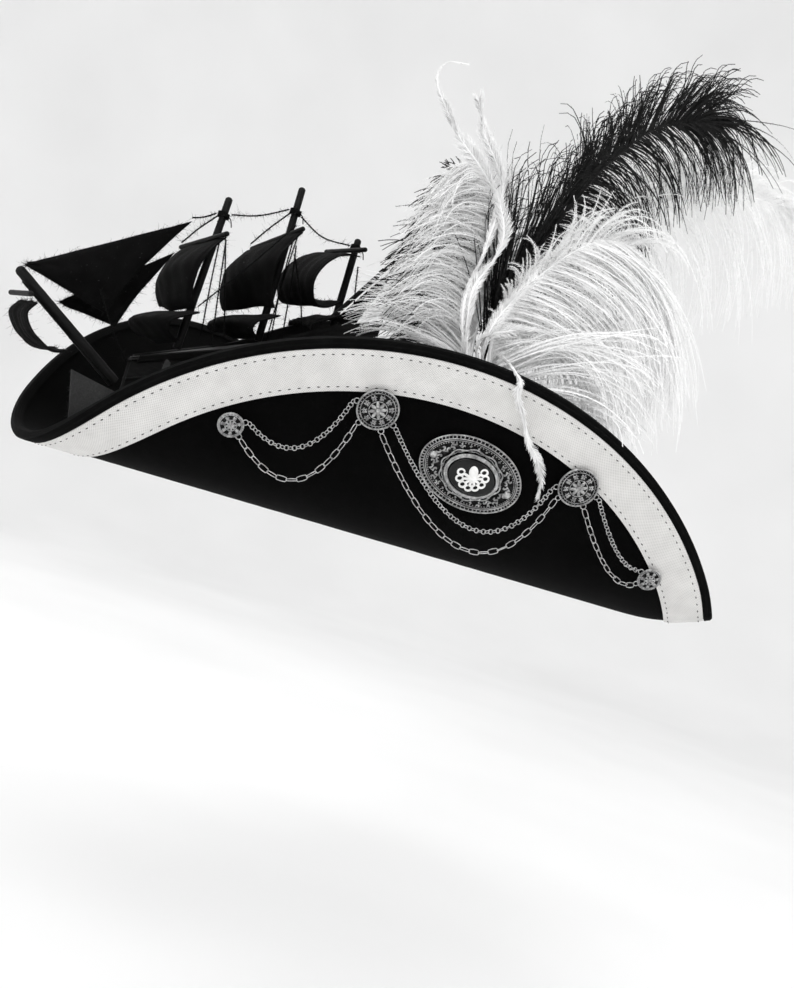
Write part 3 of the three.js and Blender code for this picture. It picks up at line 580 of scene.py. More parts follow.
# the crown is a sphere's upper half, drawn out to a squarish dome
def domePiece(name, inset, startRise, around, rings, pleats=0, depth=0.0):
    clear()
    bpy.ops.mesh.primitive_uv_sphere_add(segments=around, ring_count=rings, radius=1)
    piece = named(name)
    editAll(piece)
    cut = math.sin(startRise * math.pi / 2) if startRise else 0
    bpy.ops.mesh.bisect(plane_co=(0, 0, cut), plane_no=(0, 0, 1), clear_inner=True)
    bpy.ops.object.mode_set(mode="OBJECT")
    where = coords(piece)
    turn = np.arctan2(where[:, 1], where[:, 0])
    rise = np.arcsin(np.clip(where[:, 2], 0, 1))
    power = 2 / hatSizes["crownFullness"]
    reach, height = np.cos(rise) ** power, np.sin(rise) ** power
    reach = np.where(where[:, 2] > 0.99999, 0, reach)
    pleat = inset + depth * (0.5 + 0.5 * np.cos(turn * pleats)) * (1 - height) if pleats else inset
    setCoords(piece, np.stack([(hatSizes["openingX"] - pleat) * reach * np.cos(turn),
                               (hatSizes["openingY"] - pleat) * reach * np.sin(turn),
                               (hatSizes["crownHeight"] - pleat) * height], -1) * mm)
    return piece


def makeCrown():
    crown = outside(domePiece("feltCrown", 0.0, 0.0, 128, 64))
    modify(crown, "SOLIDIFY", thickness=hatSizes["felt"] * mm, offset=-1)
    dress(smooth(crown, 50), blackFelt, replaces=["crown"])
    lining = outside(domePiece("satinLining", 4.2, 0.3, 240, 60, pleats=40, depth=1.6))
    modify(lining, "SOLIDIFY", thickness=0.4 * mm, offset=-1)
    dress(smooth(lining, 60), satin, replaces=["lining"])


sweatBand = {"height": 32.0, "gap": 1.0, "leather": 1.2, "bottom": 0.5}


def makeSweatband():
    full = 1 - (sweatBand["height"] / (hatSizes["crownHeight"] - 3)) ** hatSizes["crownFullness"]
    topShare = full ** (1 / hatSizes["crownFullness"])
    low, high = sweatBand["bottom"], sweatBand["height"]
    heights = [low, low + 0.5, 8, 16, 24, high - 0.5, high]
    outer = [(sweatBand["gap"] + (0.4 if z in (low, high) else 0), z) for z in heights]
    inner = [(sweatBand["gap"] + sweatBand["leather"] - (0.4 if z in (low, high) else 0), z)
             for z in reversed(heights)]
    section = np.array(outer + inner)

    def spot(turn, j):
        inset, z = section[j].T
        share = 1 + (topShare - 1) * (z - low) / (high - low)
        return np.stack([((hatSizes["openingX"] - 3) * share - inset) * np.cos(turn),
                         ((hatSizes["openingY"] - 3) * share - inset) * np.sin(turn), z], -1)
    piece = torusPiece("leatherSweatband", 180, len(section), spot)
    dress(piece, leather, replaces=["sweatband"])


makeBrim()
makeBinding()
makeStitches()
makeCrown()
makeSweatband()
refinish("brim_wire", steelWire)
print("felt, canvas, binding and crown made")


def scatter(name, template, matrices):  # one mesh of many copies of a small template
    base = coords(template)
    faces = [list(p.vertices) for p in template.data.polygons]
    n = len(base)
    every = np.array([np.array(m)[:3] for m in matrices])
    verts = np.einsum("kij,vj->kvi", every[:, :, :3], base) + every[:, None, :, 3]
    data = bpy.data.meshes.new(name)
    data.from_pydata(verts.reshape(-1, 3).tolist(), [],
                     [[v + k * n for v in f] for k in range(len(matrices)) for f in faces])
    return smooth(linked(name, data))


def frameAt(centre, x, y, z, scale=1.0):
    axes = Matrix((Vector(x) * scale, Vector(y) * scale, Vector(z) * scale)).transposed()
    return Matrix.Translation(Vector(centre) * mm) @ axes.to_4x4()


def ringTemplate(radius, wire, around=12, sides=4, stretch=0.0):
    clear()
    bpy.ops.mesh.primitive_torus_add(major_segments=around, minor_segments=sides,
                                     major_radius=radius * mm, minor_radius=wire * mm)
    ring = named("ring")
    if stretch:
        where = coords(ring)
        where[:, 0] += np.sign(np.round(where[:, 0], 6)) * stretch * mm
        setCoords(ring, where)
    return ring


def wireAlong(name, points, radius, closed=False, sides=1, taper=None):  # a round wire, in mm
    data = bpy.data.curves.new(name, "CURVE")
    data.dimensions = "3D"
    data.bevel_depth, data.bevel_resolution = radius * mm, sides
    data.use_fill_caps = True
    spline = data.splines.new("POLY")
    spline.points.add(len(points) - 1)
    for k, (spot, at) in enumerate(zip(spline.points, points)):
        spot.co = (*(Vector(at) * mm), 1)
        spot.radius = taper(k / (len(points) - 1)) if taper else 1
    spline.use_cyclic_u = closed
    only(linked(name, data))
    bpy.ops.object.convert(target="MESH")
    piece = bpy.context.object
    if not piece.data.uv_layers:
        piece.data.uv_layers.new(name="cloth")
    return smooth(piece)


def ovalSpot(a, b, turn, z=0.0):
    return Vector((a * math.cos(turn), b * math.sin(turn), z))


def roundOval(name, template, count, a, b, z, lean=0.0, scale=1.0):
    places = []
    for k in range(count):
        turn = 2 * math.pi * (k + 0.5) / count
        out = Vector((math.cos(turn) / a, math.sin(turn) / b, 0)).normalized()
        along = Vector((-out.y, out.x, 0))
        x = out * math.cos(lean) + along * math.sin(lean)
        y = Vector((-x.y, x.x, 0))
        places.append(frameAt(ovalSpot(a, b, turn, z), x, y, (0, 0, 1), scale))
    return scatter(name, template, places)


def bead(radius, flat=1.0):
    clear()
    bpy.ops.mesh.primitive_ico_sphere_add(subdivisions=2, radius=radius * mm)
    piece = named("bead")
    return setCoords(piece, coords(piece) * (1, 1, flat))


def scroll(size, wire, turns=1.35):  # a C scroll that curls in at both ends
    def curl(sign):
        points = []
        for k in range(13):
            t = k / 12
            r = size * 0.5 * (1 - 0.72 * t)
            a = math.pi * (0.5 + turns * t)
            points.append((sign * (size * 0.48 + r * 0.72 * math.cos(a)), r * math.sin(a), 0))
        return points
    points = list(reversed(curl(1))) + curl(-1)[1:]
    return wireAlong("scroll", points, wire, taper=lambda t: 0.75 + 0.5 * math.sin(math.pi * t))


def domedDisc(name, radius, low, high, steps=4):  # a cylinder whose top is inset and raised
    clear()
    bpy.ops.mesh.primitive_cylinder_add(vertices=48, radius=radius * mm, depth=0.8 * mm,
                                        location=(0, 0, (low + 0.4) * mm))
    piece = named(name)
    only(piece)
    bpy.ops.object.mode_set(mode="EDIT")
    bpy.ops.mesh.select_all(action="DESELECT")
    bpy.ops.object.mode_set(mode="OBJECT")
    for face in piece.data.polygons:
        face.select = face.normal.z > 0.9
    bpy.ops.object.mode_set(mode="EDIT")
    rise = high - low - 0.8
    for k in range(steps):
        bpy.ops.mesh.inset(thickness=radius * mm * 0.8 / steps)
        a, b = k / steps, (k + 1) / steps
        lift = rise * (math.sin(b * math.pi / 2) - math.sin(a * math.pi / 2))
        bpy.ops.transform.translate(value=(0, 0, lift * mm))
    bpy.ops.object.mode_set(mode="OBJECT")
    bpy.ops.object.transform_apply(location=True, rotation=True, scale=True)
    return smooth(piece, 40)


# filigree buttons: a dark domed disc under raised rims, scrolls, petals and a boss
buttons = {"standoff": 2.6, "big": 10.4, "small": 6.4, "thickness": 2.2,
           "seats": [("small_button_front", "small", 8.5, -57.5),
                     ("big_button_front", "big", 7.4, -34.6),
                     ("big_button_rear", "big", 4.4, 1.2),
                     ("small_button_rear", "small", 2.2, 23.0)]}
buttonSeats = [seat(below, degrees, buttons["standoff"])
               for _, _, below, degrees in buttons["seats"]]


def makeFiligree(r, petals):  # every raised part of a button of radius r
    parts = [wireAlong("rim", [ovalSpot(r - 0.55, r - 0.55, 2 * math.pi * k / 64, 0.9)
                               for k in range(64)], 0.5, closed=True, sides=2),
             wireAlong("rim", [ovalSpot(r * 0.8, r * 0.8, 2 * math.pi * k / 48, 1.35)
                               for k in range(48)], 0.22, closed=True),
             wireAlong("rim", [ovalSpot(r * 0.42, r * 0.42, 2 * math.pi * k / 40, 1.75)
                               for k in range(40)], 0.26, closed=True)]
    small, tiny = bead(0.42), bead(0.26)
    parts.append(roundOval("beads", small, int(r * 3.6), r - 0.55, r - 0.55, 1.3))
    parts.append(roundOval("beads", tiny, int(r * 3.4), r * 0.89 - 0.3, r * 0.89 - 0.3, 1.15))
    curl = scroll(r * 0.21, 0.24)
    parts.append(roundOval("scrolls", curl, petals, r * 0.62, r * 0.62, 1.7, lean=0.0))
    parts.append(roundOval("scrolls", curl, petals, r * 0.6, r * 0.6, 1.72, lean=math.pi / 2))
    petal = bead(r * 0.14, 0.5)
    setCoords(petal, coords(petal) * (1.2, 0.62, 1))
    parts.append(roundOval("petals", petal, 8, r * 0.25, r * 0.25, 1.85))
    parts.append(place(bead(r * 0.12, 0.8), Matrix.Translation((0, 0, 2.0 * mm))))
    for template in (small, tiny, curl, petal):
        discard(template)
    return join("filigree", parts)


def makeButtons():
    for size in ("big", "small"):
        r = buttons[size]
        disc = domedDisc("disc", r - 0.5, 0.1, 1.9)
        clear()
        bpy.ops.mesh.primitive_cylinder_add(vertices=16, radius=1.5 * mm, depth=2.4 * mm,
                                            location=(0, 0, -1.1 * mm))
        shank = named("shank")
        only(shank)
        bpy.ops.object.transform_apply(location=True, rotation=True, scale=True)
        disc = join("disc", [disc, shank])
        filigree = makeFiligree(r, 10 if size == "big" else 7)
        for (name, its, _, _), (centre, out, rear, along) in zip(buttons["seats"], buttonSeats):
            if its == size:
                where = frameAt(centre, rear, along, out)
                plate, raised = copyOf(disc, where), copyOf(filigree, where)
                plate.name, raised.name = pieceName(name, "Disc"), pieceName(name, "Filigree")
                dress(plate, darkSilver, replaces=[name])
                dress(raised, antiqueSilver)
        discard(disc, filigree)


# the brooch: an oval plate with a laddered rim, beads and scrolls round an oval cabochon
brooch = {"below": 28.4, "degrees": -15.7, "tilt": -12.0, "standoff": 1.2, "a": 27.5, "b": 18.5,
          "plate": 2.4, "cameoA": 12.5, "cameoB": 9.0, "cameoHeight": 3.4, "bezel": 2.3,
          "rivet": 21.6, "scrolls": 26}


def broochFrame():
    centre, out, rear, along = seat(brooch["below"], brooch["degrees"], brooch["standoff"])
    tilt = math.radians(brooch["tilt"])
    x = rear * math.cos(tilt) + along * math.sin(tilt)
    return frameAt(centre, x, out.cross(x), out)


def ovalWire(a, b, z, wire, wave=0.0, waves=0, count=96):
    points = []
    for k in range(count):
        turn = 2 * math.pi * k / count
        grow = 1 + wave * math.cos(waves * turn)
        points.append(ovalSpot(a * grow, b * grow, turn, z))
    return wireAlong("oval", points, wire, closed=True)


def capHeight(x, y):
    share = min(math.hypot(x / brooch["cameoA"], y / brooch["cameoB"]), 1)
    low = brooch["plate"] + hatSizes["gap"]
    return low + brooch["cameoHeight"] * (0.45 + 0.55 * math.sqrt(1 - share ** 2))


def makeBrooch():
    where, a, b, top = broochFrame(), brooch["a"], brooch["b"], brooch["plate"]
    plate = domedDisc("broochPlateMetal", 10, 0.0, 1.3)
    flat = coords(plate)
    setCoords(plate, flat * ((a - 0.6) / 10, (b - 0.6) / 10, 1))
    dress(place(plate, where), darkSilver, replaces=["brooch_plate"])

    parts = [ovalWire(a - 0.3, b - 0.3, 1.0, 0.42), ovalWire(a - 2.2, b - 2.2, 1.3, 0.32),
             ovalWire(a - 3.1, b - 3.1, 1.4, 0.2)]
    bar = wireAlong("bar", [(-1.05, 0, 0), (0, 0, 0.3), (1.05, 0, 0)], 0.26)
    parts.append(roundOval("ladder", bar, 76, a - 1.25, b - 1.25, 1.15))
    fine = bead(0.34)
    parts.append(roundOval("beads", fine, 92, a - 3.9, b - 3.9, 1.45))
    edgeA, edgeB = brooch["cameoA"] + brooch["bezel"], brooch["cameoB"] + brooch["bezel"]
    parts.append(ovalWire(edgeA + 1.3, edgeB + 1.3, 1.9, 0.42, wave=0.035, waves=10))
    parts.append(ovalWire(edgeA + 0.3, edgeB + 0.3, 1.7, 0.3, wave=0.02, waves=20))
    leaf = bead(0.7, 0.5)
    setCoords(leaf, coords(leaf) * (1.5, 0.7, 1))
    parts.append(roundOval("leaves", leaf, 20, edgeA + 0.9, edgeB + 0.9, 1.9, lean=0.6))
    curls = [scroll(size, 0.3, turns) for size, turns in ((2.0, 1.35), (1.45, 1.2))]
    places, count = [[], []], brooch["scrolls"]
    for k in range(count):
        turn = 2 * math.pi * (k + 0.5) / count
        room = (a - 4.6 - edgeA - 1.6) * math.cos(turn) ** 2 + (b - 4.6 - edgeB - 1.4) * \
            math.sin(turn) ** 2
        mid = room / 2 + 1.7
        out = Vector((math.cos(turn) / (edgeA + mid), math.sin(turn) / (edgeB + mid), 0)).normalized()
        lean = 0.7 if k % 2 else -0.7
        x = Vector((out.x * math.cos(lean) - out.y * math.sin(lean),
                    out.x * math.sin(lean) + out.y * math.cos(lean), 0))
        spot = ovalSpot(edgeA + mid, edgeB + mid, turn, 1.6)
        which = 0 if room > 2.4 else 1
        places[which].append(frameAt(spot, x, (-x.y, x.x, 0), (0, 0, 1),
                                     min(max(room / 3.2, 0.62), 1.5)))
    parts += [scatter("scrolls", curl, spots) for curl, spots in zip(curls, places) if spots]
    rivet = bead(2.0, 0.6)
    parts.append(scatter("rivets", rivet, [Matrix.Translation((s * brooch["rivet"] * mm, 0, 1.5 * mm))
                                           for s in (-1, 1)]))
    discard(bar, fine, leaf, rivet, *curls)
    dress(place(join("broochFiligree", parts), where), antiqueSilver)

    low = top + hatSizes["gap"]
    bezel = [ovalWire(edgeA - 1.0, edgeB - 1.0, low + 0.5, 0.85),
             ovalWire(edgeA - 1.6, edgeB - 1.6, low + 1.3, 0.5)]
    tiny = bead(0.3)
    bezel.append(roundOval("beads", tiny, 64, edgeA - 0.5, edgeB - 0.5, low + 1.0))
    discard(tiny)
    dress(place(join("broochBezelMetal", bezel), where), antiqueSilver,
          replaces=["brooch_bezel"])

    clear()
    bpy.ops.mesh.primitive_uv_sphere_add(segments=48, ring_count=24, radius=1)
    stone = named("cameoStone")
    editAll(stone)
    bpy.ops.mesh.bisect(plane_co=(0, 0, 0), plane_no=(0, 0, 1), clear_inner=True, use_fill=True)
    bpy.ops.object.mode_set(mode="OBJECT")
    shape = coords(stone)
    tall = brooch["cameoHeight"]
    shape[:, 2] = np.where(shape[:, 2] > 1e-4, low + tall * (0.45 + 0.55 * shape[:, 2]), low)
    shape[:, :2] *= (brooch["cameoA"] - 0.15, brooch["cameoB"] - 0.15)
    setCoords(stone, shape * mm)
    dress(place(smooth(outside(stone), 50), where), blackResin, replaces=["cameo"])
    makeOctopus(where)


# a plain octopus: a bulb of a body over eight arms that each end in a loop
octopus = {"head": (0.3, 4.3), "neck": (0, 0.5), "size": 0.92, "arm": 0.72, "loop": 1.8,
           "turn": 28.0, "loops": [(-6.2, 4.0), (-6.7, 0.4), (-4.8, -3.0), (-1.6, -5.0),
                                   (2.0, -4.8), (5.2, -3.1), (6.9, 0.3), (6.0, 3.7)]}


def makeOctopus(where):
    grow = octopus["size"]
    turn = math.radians(octopus["turn"])

    def onStone(a, b, lift):
        x = a * math.cos(turn) - b * math.sin(turn)
        y = a * math.sin(turn) + b * math.cos(turn)
        return (x * grow, y * grow, capHeight(x * grow, y * grow) + lift)
    clear()
    bpy.ops.mesh.primitive_uv_sphere_add(segments=24, ring_count=14, radius=mm)
    head = named("head")
    shape = coords(head)
    shape[:, 0] *= 2.5 * (1 - 0.12 * shape[:, 1] / mm)
    shape[:, 1] *= 3.3
    shape[:, 2] *= 1.3
    setCoords(head, shape * grow)
    head.data.transform(Matrix.Rotation(turn, 4, "Z"))
    head.data.transform(Matrix.Translation(Vector(onStone(*octopus["head"], 0.5)) * mm))
    clear()
    bpy.ops.mesh.primitive_uv_sphere_add(segments=20, ring_count=10, radius=2.2 * mm)
    body = named("body")
    setCoords(body, coords(body) * (1.15, 1.0, 0.5))
    body.data.transform(Matrix.Translation(Vector(onStone(*octopus["neck"], 0.4)) * mm))
    parts = [smooth(head), smooth(body)]
    for x, y in octopus["loops"]:
        nx, ny = octopus["neck"]
        away = math.atan2(y - ny, x - nx)
        side = 1 if x > nx else -1
        points = [onStone(nx + (x - nx) * t * 0.72, ny + (y - ny) * t * 0.72, 0.45)
                  for t in (0.1, 0.35, 0.6, 0.85)]
        for k in range(15):
            a = away + math.pi + side * 2 * math.pi * 0.92 * k / 14
            points.append(onStone(x + octopus["loop"] * math.cos(a),
                                  y + octopus["loop"] * 0.92 * math.sin(a), 0.5))
        parts.append(wireAlong("arm", points, octopus["arm"] * grow, sides=3,
                               taper=lambda t: 1.15 - 0.5 * t))
    piece = join("octopusRelief", parts)
    dress(place(piece, where), whiteResin, replaces=["octopus"])


# chains: links lean to one side and the other in turn, and follow the same sag as the CAD's
chains = {"endGap": 2.0, "drift": 0.25,
          "fine": {"radius": 1.14, "wire": 0.21, "size": 2.4},
          "long": {"radius": 1.28, "wire": 0.23, "stretch": 1.35, "size": 2.8}, "roll": 36,
          "swags": [("fine_chain_front", 0, 28, 174, 16.3), ("long_chain_front", 0, -40, 234, 21.6),
                    ("fine_chain_middle", 1, -28, 196, 33.2),
                    ("long_chain_middle", 1, -62, 228, 38.5),
                    ("fine_chain_rear", 2, -10, 154, 8.8), ("long_chain_rear", 2, -52, 218, 10.4)]}
hookRing = {"radius": 1.35, "wire": 0.26, "back": 1.5, "down": 0.4}  # joins a chain to its button


def swagEnds(span, size, start, end):
    ends = []
    for which, degrees in ((span, start), (span + 1, end)):
        centre, out, rear, along = buttonSeats[which]
        reach = buttons[buttons["seats"][which][1]] + chains["endGap"]
        turn = math.radians(degrees)
        ends.append(centre + rear * reach * math.cos(turn) + along * reach * math.sin(turn)
                    + out * size / 2)
    return ends


def swagLine(a, b, sag, steps=400):
    across = Vector((b.x - a.x, b.y - a.y, 0)).normalized()
    pull = Vector((across.x * chains["drift"], across.y * chains["drift"], -1))
    t = np.linspace(0, 1, steps)[:, None]
    return np.array(a) * (1 - t) + np.array(b) * t + np.array(pull) * sag * 4 * t * (1 - t)


def makeChains():
    fine, long = chains["fine"], chains["long"]
    fineLink = ringTemplate(fine["radius"], fine["wire"])
    longLink = ringTemplate(long["radius"], long["wire"], stretch=long["stretch"])
    fineHalf = fine["radius"] - fine["wire"]
    longHalf = long["radius"] + long["stretch"] - long["wire"]
    hooks = []
    for name, span, start, end, sag in chains["swags"]:
        kind = chains[name.split("_")[0]]
        a, b = swagEnds(span, kind["size"], start, end)
        line = swagLine(a, b, sag)
        lengths = np.concatenate([[0], np.cumsum(np.linalg.norm(np.diff(line, axis=0), axis=1))])
        total = lengths[-1]
        half, template = (fineHalf, fineLink) if kind is fine else (longHalf, longLink)
        count = round(total / (2 * half))
        spots = [(k + 0.5) * total / count for k in range(count)]
        places = []
        for k, at in enumerate(spots):
            centre = [np.interp(at, lengths, line[:, i]) for i in range(3)]
            ahead = [np.interp(at + 0.5, lengths, line[:, i]) for i in range(3)]
            behind = [np.interp(at - 0.5, lengths, line[:, i]) for i in range(3)]
            x = (Vector(ahead) - Vector(behind)).normalized()
            out = buttonSeats[span][1].lerp(buttonSeats[span + 1][1], at / total)
            out = (out - x * out.dot(x)).normalized()
            roll = math.radians((k * 37 % 23) - 11 + chains["roll"] * (-1) ** k)
            z = out * math.cos(roll) + x.cross(out) * math.sin(roll)
            places.append(frameAt(centre, x, z.cross(x), z))
        dress(scatter(pieceName(name), template, places), chainMetal,
              body=name, replaces=[name])
        for which, tip in ((span, a), (span + 1, b)):
            centre, out = buttonSeats[which][:2]
            x = tip - centre
            x = (x - out * x.dot(out)).normalized()
            hooks.append(frameAt(tip - x * hookRing["back"] - out * hookRing["down"], x,
                                 out.cross(x), out))
    hook = ringTemplate(hookRing["radius"], hookRing["wire"])
    dress(scatter("swagRings", hook, hooks), chainMetal)
    discard(fineLink, longLink, hook)


makeButtons()
makeBrooch()
makeChains()
print("buttons, brooch and chains made")


# a grid laid onto a surface: spot(u, v) gives its place in millimetres, u and v from 0 to 1
def mappedGrid(name, across, down, spot, size):
    clear()
    bpy.ops.mesh.primitive_grid_add(x_subdivisions=across, y_subdivisions=down, size=1)
    piece = named(name)
    flat = coords(piece)
    u, v = flat[:, 0] + 0.5, flat[:, 1] + 0.5
    setCoords(piece, spot(u, v) * mm)
    corner = np.empty(len(piece.data.loops), int)
    piece.data.loops.foreach_get("vertex_index", corner)
    layer = piece.data.uv_layers.active or piece.data.uv_layers.new(name="cloth")
    layer.name = "cloth"
    layer.data.foreach_set("uv", np.stack([u[corner] * size[0], v[corner] * size[1]], -1).ravel())
    return piece


def closeEnds(piece, merge=0.01):  # a grid rolled into a tube: seam merged, ends filled
    editAll(piece)
    bpy.ops.mesh.remove_doubles(threshold=merge * mm)
    bpy.ops.mesh.select_all(action="DESELECT")
    bpy.context.tool_settings.mesh_select_mode = (False, True, False)
    bpy.ops.mesh.select_non_manifold(extend=False, use_wire=False, use_boundary=True,
                                     use_multi_face=False, use_non_contiguous=False,
                                     use_verts=False)
    bpy.ops.mesh.fill_holes(sides=0)
    bpy.ops.mesh.select_all(action="SELECT")
    bpy.ops.mesh.fill_holes(sides=0)
    bpy.ops.mesh.normals_make_consistent(inside=False)
    bpy.ops.object.mode_set(mode="OBJECT")
    return piece


def curveThrough(points, shares):  # a smooth line through a few points, by share of its length
    points = np.array(points, float)
    steps = np.linalg.norm(np.diff(points, axis=0), axis=1) ** 0.5
    knots = np.concatenate([[0], np.cumsum(steps)]) / steps.sum()
    slope = np.gradient(points, knots, axis=0) if len(points) > 2 else \
        np.repeat(np.diff(points, axis=0) / np.diff(knots)[:, None], 2, axis=0)
    t = np.clip(np.asarray(shares, float), 0, 1)
    k = np.clip(np.searchsorted(knots, t, side="right") - 1, 0, len(points) - 2)
    h = knots[k + 1] - knots[k]
    w = ((t - knots[k]) / h)[..., None]
    h = h[..., None]
    return ((2 * w ** 3 - 3 * w ** 2 + 1) * points[k] + (w ** 3 - 2 * w ** 2 + w) * h * slope[k]
            + (-2 * w ** 3 + 3 * w ** 2) * points[k + 1] + (w ** 3 - w ** 2) * h * slope[k + 1])


# turned or whittled spars: round, a little uneven, with eased ends
def sparPiece(name, start, end, r0, r1, round0=False, round1=True, sides=18, along=28):
    a, b = np.array(start, float), np.array(end, float)
    long = np.linalg.norm(b - a)
    axis = (b - a) / long
    side = unit(np.cross(axis, [0.3, 0.2, 0.93] if abs(axis[2]) < 0.9 else [1, 0, 0]))
    other = np.cross(axis, side)

    def spot(u, v):
        v = (1 - np.cos(math.pi * v)) / 2  # closer rings at the rounded ends
        r = r0 + (r1 - r0) * v
        for near, on in ((v * long, round0), ((1 - v) * long, round1)):
            if on:
                edge = np.clip(near / (r * 0.8), 0, 1)
                r = r * np.sqrt(np.clip(1 - (1 - edge) ** 2, 0.02, 1))
        r = r * (1 + 0.025 * np.sin(v * 23 + 1) * np.sin(2 * math.pi * u * 2) +
                 0.02 * np.sin(v * 51))
        turn = 2 * math.pi * u
        return (a + axis * (v * long)[:, None] + side * (r * np.cos(turn))[:, None]
                + other * (r * np.sin(turn))[:, None])
    piece = mappedGrid(name, sides, along, spot, (2 * math.pi * r0, long))
    return smooth(closeEnds(piece), 40)


ship = {"hull": {"bow": -163.0, "stern": -32.0, "halfBeam": 15.0, "bowDeck": 52.0,
                 "sternDeck": 107.0, "depth": 20.0, "planks": 11, "rail": (2.5, 11.0)},
        "mast": 2.1, "yard": 1.3, "cloth": 0.7, "deck": 1.6,
        "masts": {"fore_mast": (-140.5, -136.5, 149.0), "main_mast": (-97.0, -97.8, 170.0),
                  "mizzen_mast": (-55.0, -55.4, 157.0)},
        "yards": {"fore_yard": ("fore_mast", (-31, 120), (22, 127)),
                  "main_yard": ("main_mast", (-31, 134), (22, 145)),
                  "mizzen_yard": ("mizzen_mast", (-25, 148.2), (18, 149.2))},
        "spars": {"bowsprit": ((0, -168, 39), (0, -230, 77), 3.2, 2.5),
                  "sprit_yard": ((-18, -224.5, 66), (15, -224.5, 66), 1.3, 1.3),
                  "spanker_boom": ((4, -61, 108), (4, -29, 156), 1.3, 1.3)}}


def deckHeight(y):
    hull = ship["hull"]
    share = (y - hull["bow"]) / (hull["stern"] - hull["bow"])
    return hull["bowDeck"] + (hull["sternDeck"] - hull["bowDeck"]) * share


def halfWidth(t):
    grow = 0.12 + 0.88 * np.sin(np.minimum(t * 1.25, 1) * math.pi / 2)
    return grow * (1 - 0.22 * np.maximum(t - 0.6, 0) / 0.4) * ship["hull"]["halfBeam"]


def mastY(name, z):
    foot, head, top = ship["masts"][name]
    low = deckHeight(foot)
    return foot + (head - foot) * (z - low) / (top - low)


def makeHull():
    hull = ship["hull"]

    def spot(u, v):
        phi = (v - 0.5) * math.pi
        lap = 1 + 0.03 * ((np.abs(v - 0.5) * 2 * hull["planks"]) % 1.0)
        x = np.sign(phi) * np.abs(np.sin(phi)) ** 0.72
        z = -np.cos(phi) ** 0.8
        y = hull["bow"] + (hull["stern"] - hull["bow"]) * u
        depth = hull["depth"] * (1 - 0.2 * u)
        return np.stack([x * halfWidth(u) * lap * 0.985, y,
                         deckHeight(y) + z * depth * (0.97 + 0.03 * lap)], -1)
    piece = mappedGrid("clinkerHull", 44, hull["planks"] * 8, spot, (131, 60))
    dress(smooth(closeEnds(piece, 0.001), 25), blackHull, replaces=["hull"])
    for side, label in ((-1, "Right"), (1, "Left")):
        def wall(u, v, side=side):
            y = hull["bow"] + (hull["stern"] - hull["bow"]) * (0.02 + 0.97 * u)
            low, high = hull["rail"]  # the rail climbs in an S towards the stern
            climb = 0.5 - 0.5 * np.cos(math.pi * np.clip((u - 0.35) / 0.45, 0, 1))
            rise = low + (high - low) * climb
            strake = 0.35 * np.abs(np.sin(v * math.pi * 3))
            out = halfWidth(0.02 + 0.97 * u) + strake + 0.5 + 1.2 * v
            return np.stack([side * out, y, deckHeight(y) - 1 + (rise + 1) * v], -1)
        rail = mappedGrid("bulwark" + label, 60, 12, wall, (127, 12))
        modify(rail, "SOLIDIFY", thickness=1.1 * mm, offset=0)
        dress(smooth(outside(rail), 40), blackHull)
    parts = []
    for side in (-1, 1):
        for drop, wire in ((0.0, 0.75), (0.26, 0.6), (0.5, 0.5)):
            line = []
            for k in range(30):
                t = k / 29
                phi = math.pi / 2 * (1 - drop)
                y = hull["bow"] + (hull["stern"] - hull["bow"]) * t
                x = side * (math.sin(phi) ** 0.72 * float(halfWidth(t)) + 0.25)
                z = deckHeight(y) - math.cos(phi) ** 0.8 * hull["depth"] * (1 - 0.2 * t)
                line.append((x, y, z + (0.4 if drop == 0 else 0)))
            parts.append(wireAlong("wale", line, wire))
        clear()
        bpy.ops.mesh.primitive_cube_add(size=mm)
        port = named("gunport")
        setCoords(port, coords(port) * (1.0, 4.4, 3.4))
        modify(port, "BEVEL", width=0.3 * mm, segments=2)
        spots = []
        for k in range(6):
            t = 0.3 + k * 0.11
            y = hull["bow"] + (hull["stern"] - hull["bow"]) * t
            spots.append(frameAt((side * (float(halfWidth(t)) + 0.5), y, deckHeight(y) - 4.6),
                                 (1, 0, 0), (0, 0.92, 0.39), (0, -0.39, 0.92)))
        parts.append(scatter("gunports", port, spots))
        discard(port)
    for x in (-7.5, 0, 7.5):  # stern windows
        frameLine = [(x + sx * 2.6, hull["stern"] + 0.5, deckHeight(hull["stern"]) - 6 + sz * 2.8)
                     for sx, sz in ((-1, -1), (1, -1), (1, 1), (-1, 1))]
        parts.append(wireAlong("window", frameLine, 0.45, closed=True))
    dress(join("hullFittings", parts), blackHull)
    refinish("deck", blackHull)


def makeSpars():
    for name, (foot, head, top) in ship["masts"].items():
        low = deckHeight(foot) + ship["deck"] + 0.3 + ship["mast"]
        piece = sparPiece(pieceName(name, "Dowel"), (0, foot, low), (0, head, top),
                          ship["mast"], ship["mast"] * 0.92)
        dress(piece, blackSpar, replaces=[name])
    for name, (mast, far, near) in ship["yards"].items():
        y = mastY(mast, (far[1] + near[1]) / 2) - ship["mast"] - ship["yard"] - 0.6
        piece = sparPiece(pieceName(name, "Dowel"), (far[0], y, far[1]),
                          (near[0], y, near[1]), ship["yard"], ship["yard"], True)
        dress(piece, blackSpar, replaces=[name])
    for name, (start, end, r0, r1) in ship["spars"].items():
        piece = sparPiece(pieceName(name, "Dowel"), start, end, r0, r1,
                          round0=name != "bowsprit")
        dress(piece, blackSpar, replaces=[name])


